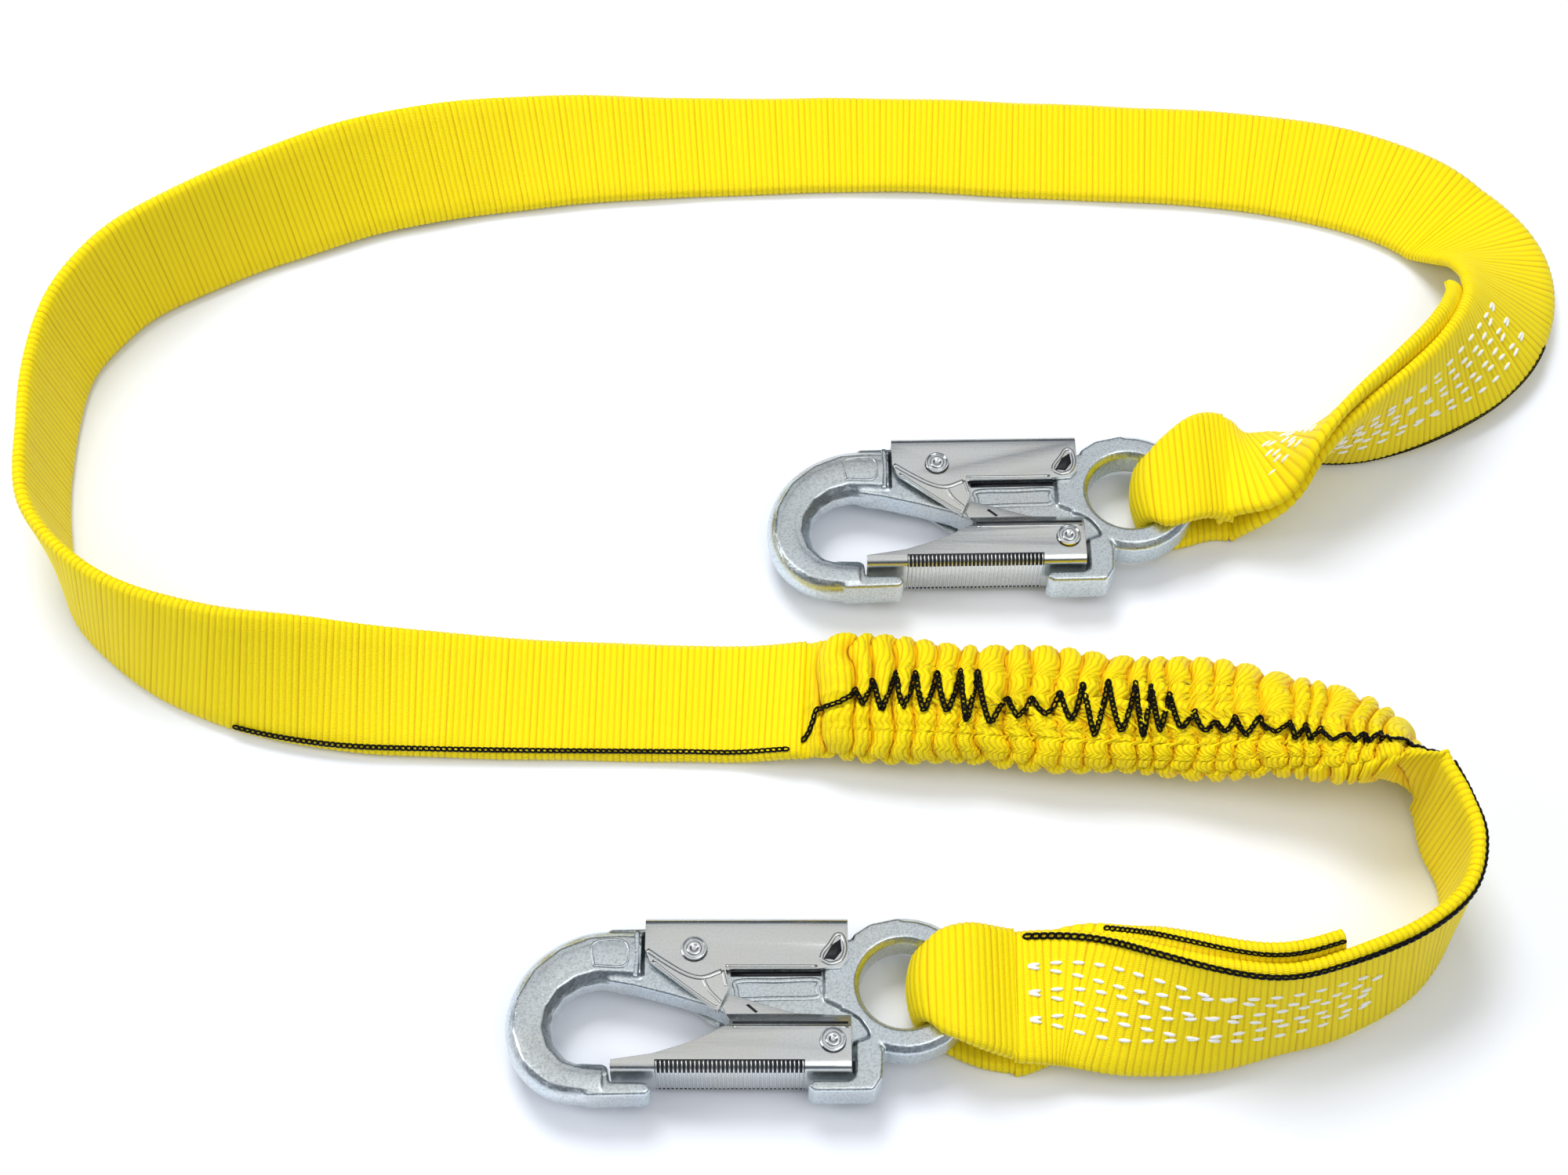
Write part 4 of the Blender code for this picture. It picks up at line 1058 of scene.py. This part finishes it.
class LANYARD_OT_forgings(bpy.types.Operator):
    """Fuse and soften each hook's forged body"""
    bl_idname = "lanyard.forgings"
    bl_label = "Forged hook bodies"

    def execute(self, context):
        mesh = forging_mesh()
        other = mesh.copy()
        other.transform(hook_matrix("b") @ hook_matrix("a").inverted())
        for letter, shape in (("a", mesh), ("b", other)):
            body = place_mesh("hook_%s_forging" % letter, shape, finish_of("forged"))
            keep(body, "hook_" + letter, "forged_zinc", "hook_%s_body" % letter)
        return {'FINISHED'}


# y and z of the corners round which the gate's web is folded, and the angle at which the grip starts there
FOLD_CENTRE = (-6.8, 7.1)
FOLD_START = -6.0
# radius of the grip ribs' middle, and of both faces of the painted-shade sheet under them, which darkens the grooves
# between the ribs
KNURL_RADIUS = 3.02
KNURL_SHADE_RADII = (3.06, 2.98)
KNURL_HALF = (0.31, 0.34)
KNURL_SIDES = (0.0, 1.05, 2.1, 3.14, 4.2, 5.24)
# along the hook: the first rib and the length of their row, and the ends of the painted-shade sheet under the ribs
KNURL_ROW = (46.1, 48.0)
KNURL_SHADE_ENDS = (45.6, 92.9)


def fold_point(degrees, radius, sign):
    """(y, z) of a point on the gate's fold."""
    angle = math.radians(FOLD_START + degrees)
    return FOLD_CENTRE[0] - radius * math.sin(angle), sign * (FOLD_CENTRE[1] + radius * math.cos(angle))


def knurl_bar():
    """One grip rib: a thin bar bent round the gate's folded web."""
    points = [fold_point(18.0 * k, KNURL_RADIUS, 1.0) for k in range(6)]
    points = np.array(points + [(y, -z) for y, z in reversed(points)])
    rings = []
    for (y, z), (dy, dz) in zip(points, unit(np.gradient(points, axis=0))):
        rings.append([(Vector((KNURL_HALF[0] * math.cos(a), y, z))
                       + Vector((0.0, dz, -dy)) * (KNURL_HALF[1] * math.sin(a))) * MM for a in KNURL_SIDES])
    return mesh_from(lofted(rings), "knurl")


EDGE_ROLL = 0.34


def pressed_mesh(node):
    """A pressed-sheet piece: the CAD solid with rolled edges."""
    obj = loose_object("pressed", mesh_from(node_mesh(node), "pressed"))
    roll = obj.modifiers.new("rolled", 'BEVEL')
    roll.width = EDGE_ROLL * MM
    roll.segments = 3
    roll.limit_method = 'ANGLE'
    roll.angle_limit = math.radians(32.0)
    return apply_modifiers(obj)


# height of the face that carries them, over the hook's middle
GATE_FACE, LEVER_FACE, BODY_FACE, BEND_FACE = 10.1, 8.4, 5.0, 7.0
# rolled edges and raised frames in the hook's frame: points, half width, height, closed
LEVER_RIDGES = [
    ([(42.4, 31.2), (48.6, 26.8), (55.0, 23.0), (60.4, 21.8), (66.4, 24.0)], 0.85, 0.6, False),
    ([(67.6, 25.7), (82.0, 25.7), (97.0, 25.7)], 0.5, 0.4, False),
    ([(44.2, 27.6), (53.2, 20.2), (62.8, 12.9), (65.0, 11.8)], 0.45, 0.16, False),
    ([(60.6, 21.2), (62.4, 17.6), (66.2, 13.4)], 0.55, 0.18, False),
    ([(68.0, 18.8), (66.8, 24.2)], 0.5, 0.18, False),
    ([(98.2, 28.0), (101.0, 26.6), (104.4, 27.8), (105.9, 31.4), (105.2, 35.8), (103.2, 36.6), (101.0, 33.4),
      (98.8, 30.4)], 0.7, 0.5, True),
]
GATE_RIDGES = [([(70.0, 4.3), (88.0, 4.3), (106.8, 4.3)], 0.4, 0.3, False)]
FRAME_RIDGES = [
    ([(71.4, 15.6), (84.0, 16.0), (96.6, 16.4), (96.9, 19.6), (96.6, 22.4), (84.0, 22.1), (71.4, 21.8),
      (71.1, 18.6)], 0.75, 0.2, True),
]
BEND_RIDGES = [
    ([(25.4, 26.4), (35.4, 26.6), (35.2, 34.6), (25.2, 34.2)], 0.5, 0.45, True),
    ([(38.8, 22.4), (39.2, 30.0), (39.0, 38.4)], 0.9, 0.6, False),
]
# dark sheets of painted shade in the gaps, the slots and the thumb tab's curl: outline in the hook's frame, and
# height of the face they lie on
LEVER_SHADE_SHEETS = [([(99.2, 28.6), (102.4, 27.8), (104.8, 31.0), (104.4, 35.0), (101.6, 32.6)], 8.42)]
GATE_SHADE_SHEETS = [([(74.2, 13.0), (75.0, 13.4), (78.0, 10.8), (77.2, 10.4)], 6.72),
             ([(70.0, 5.4), (70.0, 6.2), (106.6, 6.2), (106.6, 5.4)], 10.0)]
BODY_SHADE_SHEETS = [([(69.2, 23.4), (69.2, 25.0), (104.0, 25.2), (103.4, 23.6)], 5.02),
             ([(40.6, 24.0), (41.6, 23.6), (41.6, 38.8), (40.6, 38.8)], 5.02)]


def ridges_mesh(rows, z):
    """Rounded ridges along lines on both faces of a piece."""
    tubes = []
    for points, radius, tall, closed in rows:
        flat = np.array(points + points[:1] if closed else points, float)
        line = catmull_rom(flat, 8)
        along = unit(np.gradient(line, axis=0))
        if closed:
            along[0] = along[-1] = unit(line[1] - line[-2])
        for side in (1.0, -1.0):
            outline = [(radius * math.cos(t), side * z + tall * math.sin(t)) for t in turns(8)]
            tubes.append(tube(line, along, lambda row: outline))
    return joined(tubes, "ridges")


def shade_sheets_mesh(rows, grip=False):
    """Thin dark sheets of painted shade that fill grooves and gaps on both faces, and the painted-shade sheet under
    the knurled grip's ribs.
    """
    sheets = []
    for outline, z in rows:
        for side in (1.0, -1.0):
            sheets.append([[(x, y, side * (z + lift)) for x, y in outline] for lift in (0.0, 0.1)])
    if grip:
        for side in (1.0, -1.0):
            outer, inner = ([fold_point(12.0 * k, r, side) for k in range(9)] for r in KNURL_SHADE_RADII)
            sheets.append([[(x, y, z) for y, z in outer + inner[::-1]] for x in KNURL_SHADE_ENDS])
    return joined([lofted([[Vector(point) * MM for point in ring] for ring in sheet]) for sheet in sheets], "gaps")


class LANYARD_OT_gates(bpy.types.Operator):
    """Press each hook's gate and lock lever, with the gate's knurled grip"""
    bl_idname = "lanyard.gates"
    bl_label = "Gates and lock levers"

    def execute(self, context):
        hook = context.scene.lanyard_hook
        for letter in "ab":
            for part, node in (("gate", "gate"), ("lever", "lock_lever")):
                mesh = pressed_mesh("hook_%s_%s" % (letter, node))
                obj = place_mesh("hook_%s_%s_pressed" % (letter, part), mesh, finish_of("pressed"))
                obj.data.set_sharp_from_angle(angle=math.radians(38.0))
                keep(obj, "%s_%s" % (part, letter), "pressed_zinc", "hook_%s_%s" % (letter, node))
            self.details(letter)
            grip = run_tree(loose_object("bar", knurl_bar()), row_tree(), "hook_%s_gate_knurl" % letter,
                            finish_of("pressed"), Count=int(KNURL_ROW[1] * MM / hook.knurl_pitch),
                            Pitch=hook.knurl_pitch)
            grip.data.transform(hook_matrix(letter) @ Matrix.Translation(Vector((KNURL_ROW[0], 0.0, 0.0)) * MM))
            keep(grip, "gate_" + letter, "pressed_zinc")
        return {'FINISHED'}

    def details(self, letter):
        rows = [
            ("lever_ridges", ridges_mesh(LEVER_RIDGES, LEVER_FACE), "pressed", "lever_", "pressed_zinc"),
            ("gate_ridges", ridges_mesh(GATE_RIDGES, GATE_FACE), "pressed", "gate_", "pressed_zinc"),
            ("frame_ridges", ridges_mesh(FRAME_RIDGES, BODY_FACE), "forged", "hook_", "forged_zinc"),
            ("bend_ridges", ridges_mesh(BEND_RIDGES, BEND_FACE), "forged", "hook_", "forged_zinc"),
            # dark sheets of painted shade in the gaps and under the knurled grip
            ("lever_shade_sheets", shade_sheets_mesh(LEVER_SHADE_SHEETS), "dark_shade", "lever_", "pressed_zinc"),
            ("gate_shade_sheets", shade_sheets_mesh(GATE_SHADE_SHEETS, True), "dark_shade", "gate_", "pressed_zinc"),
            ("body_shade_sheets", shade_sheets_mesh(BODY_SHADE_SHEETS), "dark_shade", "hook_", "forged_zinc"),
        ]
        for name, mesh, finish, body, slot in rows:
            mesh.transform(hook_matrix(letter))
            obj = place_mesh("hook_%s_%s" % (letter, name), mesh, finish_of(finish), outward=True)
            keep(obj, body + letter, slot)


# radius and height over the seat of a rolled rivet head
RIVET_HEAD = [(3.0, 0.02), (4.0, 0.02), (4.15, 0.35), (3.95, 0.75), (3.6, 0.85), (3.3, 0.62), (3.05, 0.34),
              (2.75, 0.40), (2.5, 0.80), (2.2, 1.08), (1.7, 1.14), (1.25, 1.02), (0.95, 0.62), (0.6, 0.5)]


def rivet_mesh(letter, pivot, cheek):
    """A tubular rivet with a rolled collar, a groove and a domed middle on both heads."""
    half = [(r, cheek + GAP + z) for r, z in RIVET_HEAD]
    rings = [(r, -z) for r, z in reversed(half)] + half
    bm = lofted([[Vector((pivot[0] + r * math.cos(t), pivot[1] + r * math.sin(t), z)) * MM for t in turns(48)]
                 for r, z in rings])
    bm.transform(hook_matrix(letter))
    return mesh_from(bm, "rivet")


class LANYARD_OT_rivets(bpy.types.Operator):
    """Set the rivets and finish the springs"""
    bl_idname = "lanyard.rivets"
    bl_label = "Rivets and springs"

    def execute(self, context):
        for letter in "ab":
            for part, pivot, cheek in (("gate", GATE_PIVOT, GATE_FACE), ("lock", LEVER_PIVOT, LEVER_FACE)):
                node = "hook_%s_%s_rivet" % (letter, part)
                rivet = place_mesh(node + "_rolled", rivet_mesh(letter, pivot, cheek), finish_of("rivet"))
                rivet.data.set_sharp_from_angle(angle=math.radians(40.0))
                keep(rivet, "hook_" + letter, "rivet_steel", node)
                paint(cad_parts["hook_%s_%s_spring" % (letter, part)].data, finish_of("spring"))
        return {'FINISHED'}


# ---------------------------------------------------------------- stage
FLOOR_HALF = 4.0
CAMERA_HEIGHT = 0.8941
# name, place, size, power, whether metal mirrors it
LIGHTS = [("key", (-0.62, 2.0, 3.3), 1.7, 94.0, False), ("fill", (0.9, -1.0, 1.9), 1.6, 11.0, True),
          ("strip", (-1.3, -0.1, 0.9), 0.5, 6.0, True)]
# height on the sky and its colour
SKY = [(0.0, (0.50, 0.55, 0.62, 1.0)), (0.80, (1.0, 1.0, 1.0, 1.0)), (0.16, (0.03, 0.04, 0.055, 1.0)),
       (0.50, (0.12, 0.15, 0.20, 1.0))]
SKY_STRENGTH = 0.8


class LANYARD_OT_stage(bpy.types.Operator):
    """Lay the floor and set the lights, the sky and the camera"""
    bl_idname = "lanyard.stage"
    bl_label = "Stage"

    def execute(self, context):
        settings = context.scene.lanyard_stage
        mesh = bpy.data.meshes.new("floor")
        corners = [(x * FLOOR_HALF, y * FLOOR_HALF, 0) for x, y in ((-1, -1), (1, -1), (1, 1), (-1, 1))]
        mesh.from_pydata(corners, [], [(0, 1, 2, 3)])
        place_mesh("floor", mesh, floor_material(settings.floor))
        camera = bpy.data.cameras.new("camera")
        camera.lens = settings.lens
        camera.sensor_width = 36.0
        view = loose_object("camera", camera)
        view.location = (-LAYOUT_CENTRE[0] * MM, -LAYOUT_CENTRE[1] * MM, CAMERA_HEIGHT)
        view.rotation_euler = (settings.tilt, 0.0, 0.0)
        context.scene.camera = view
        for name, spot, size, power, mirrored in LIGHTS:
            lamp = bpy.data.lights.new(name, 'AREA')
            lamp.energy, lamp.shape, lamp.size = power, 'SQUARE', size
            lit = loose_object(name, lamp)
            lit.location = spot
            lit.visible_glossy = mirrored
            lit.rotation_euler = (-Vector(spot)).to_track_quat('-Z', 'Y').to_euler()
        self.sky()
        context.scene.view_settings.view_transform = 'Standard'
        return {'FINISHED'}

    def sky(self):
        world = bpy.data.worlds.new("studio")
        world.use_nodes = True
        bpy.context.scene.world = world
        tree = Tree(world.node_tree)
        place = tree.node("ShaderNodeTexCoord").outputs["Generated"]
        height = tree.node("ShaderNodeSeparateXYZ", [(0, place)]).outputs["Z"]
        ramp = tree.node("ShaderNodeValToRGB", [(0, height)])
        stops = ramp.color_ramp.elements
        for stop, (place_at, shade) in zip(stops[:2], SKY[:2]):
            stop.position, stop.color = place_at, shade
        for place_at, shade in SKY[2:]:
            stops.new(place_at).color = shade
        back = world.node_tree.nodes["Background"]
        tree.feed(back.inputs["Color"], ramp.outputs["Color"])
        back.inputs["Strength"].default_value = SKY_STRENGTH


STEPS = [LANYARD_OT_stage, LANYARD_OT_straps, LANYARD_OT_laps, LANYARD_OT_pack, LANYARD_OT_seams,
         LANYARD_OT_stitching, LANYARD_OT_forgings, LANYARD_OT_gates, LANYARD_OT_rivets]
GROUPS = {"lanyard_webbing": LanyardWebbing, "lanyard_pack": LanyardPack, "lanyard_thread": LanyardThread,
          "lanyard_hook": LanyardHook, "lanyard_stage": LanyardStage}


class LANYARD_PT_panel(bpy.types.Panel):
    """Lists the lanyard's pieces in the order they are made"""
    bl_idname = "LANYARD_PT_panel"
    bl_label = "Lanyard"
    bl_space_type = 'VIEW_3D'
    bl_region_type = 'UI'
    bl_category = "Lanyard"

    def draw(self, context):
        for step in STEPS:
            self.layout.operator(step.bl_idname)


def register():
    for group in GROUPS.values():
        bpy.utils.register_class(group)
    for name, group in GROUPS.items():
        setattr(bpy.types.Scene, name, PointerProperty(type=group))
    for step in STEPS:
        bpy.utils.register_class(step)
    bpy.utils.register_class(LANYARD_PT_panel)


def unregister():
    bpy.utils.unregister_class(LANYARD_PT_panel)
    for step in reversed(STEPS):
        bpy.utils.unregister_class(step)
    for name in GROUPS:
        delattr(bpy.types.Scene, name)
    for group in reversed(list(GROUPS.values())):
        bpy.utils.unregister_class(group)


def main():
    register()
    for step in STEPS:
        area, name = step.bl_idname.split(".")
        getattr(getattr(bpy.ops, area), name)()


if __name__ == "__main__":
    main()
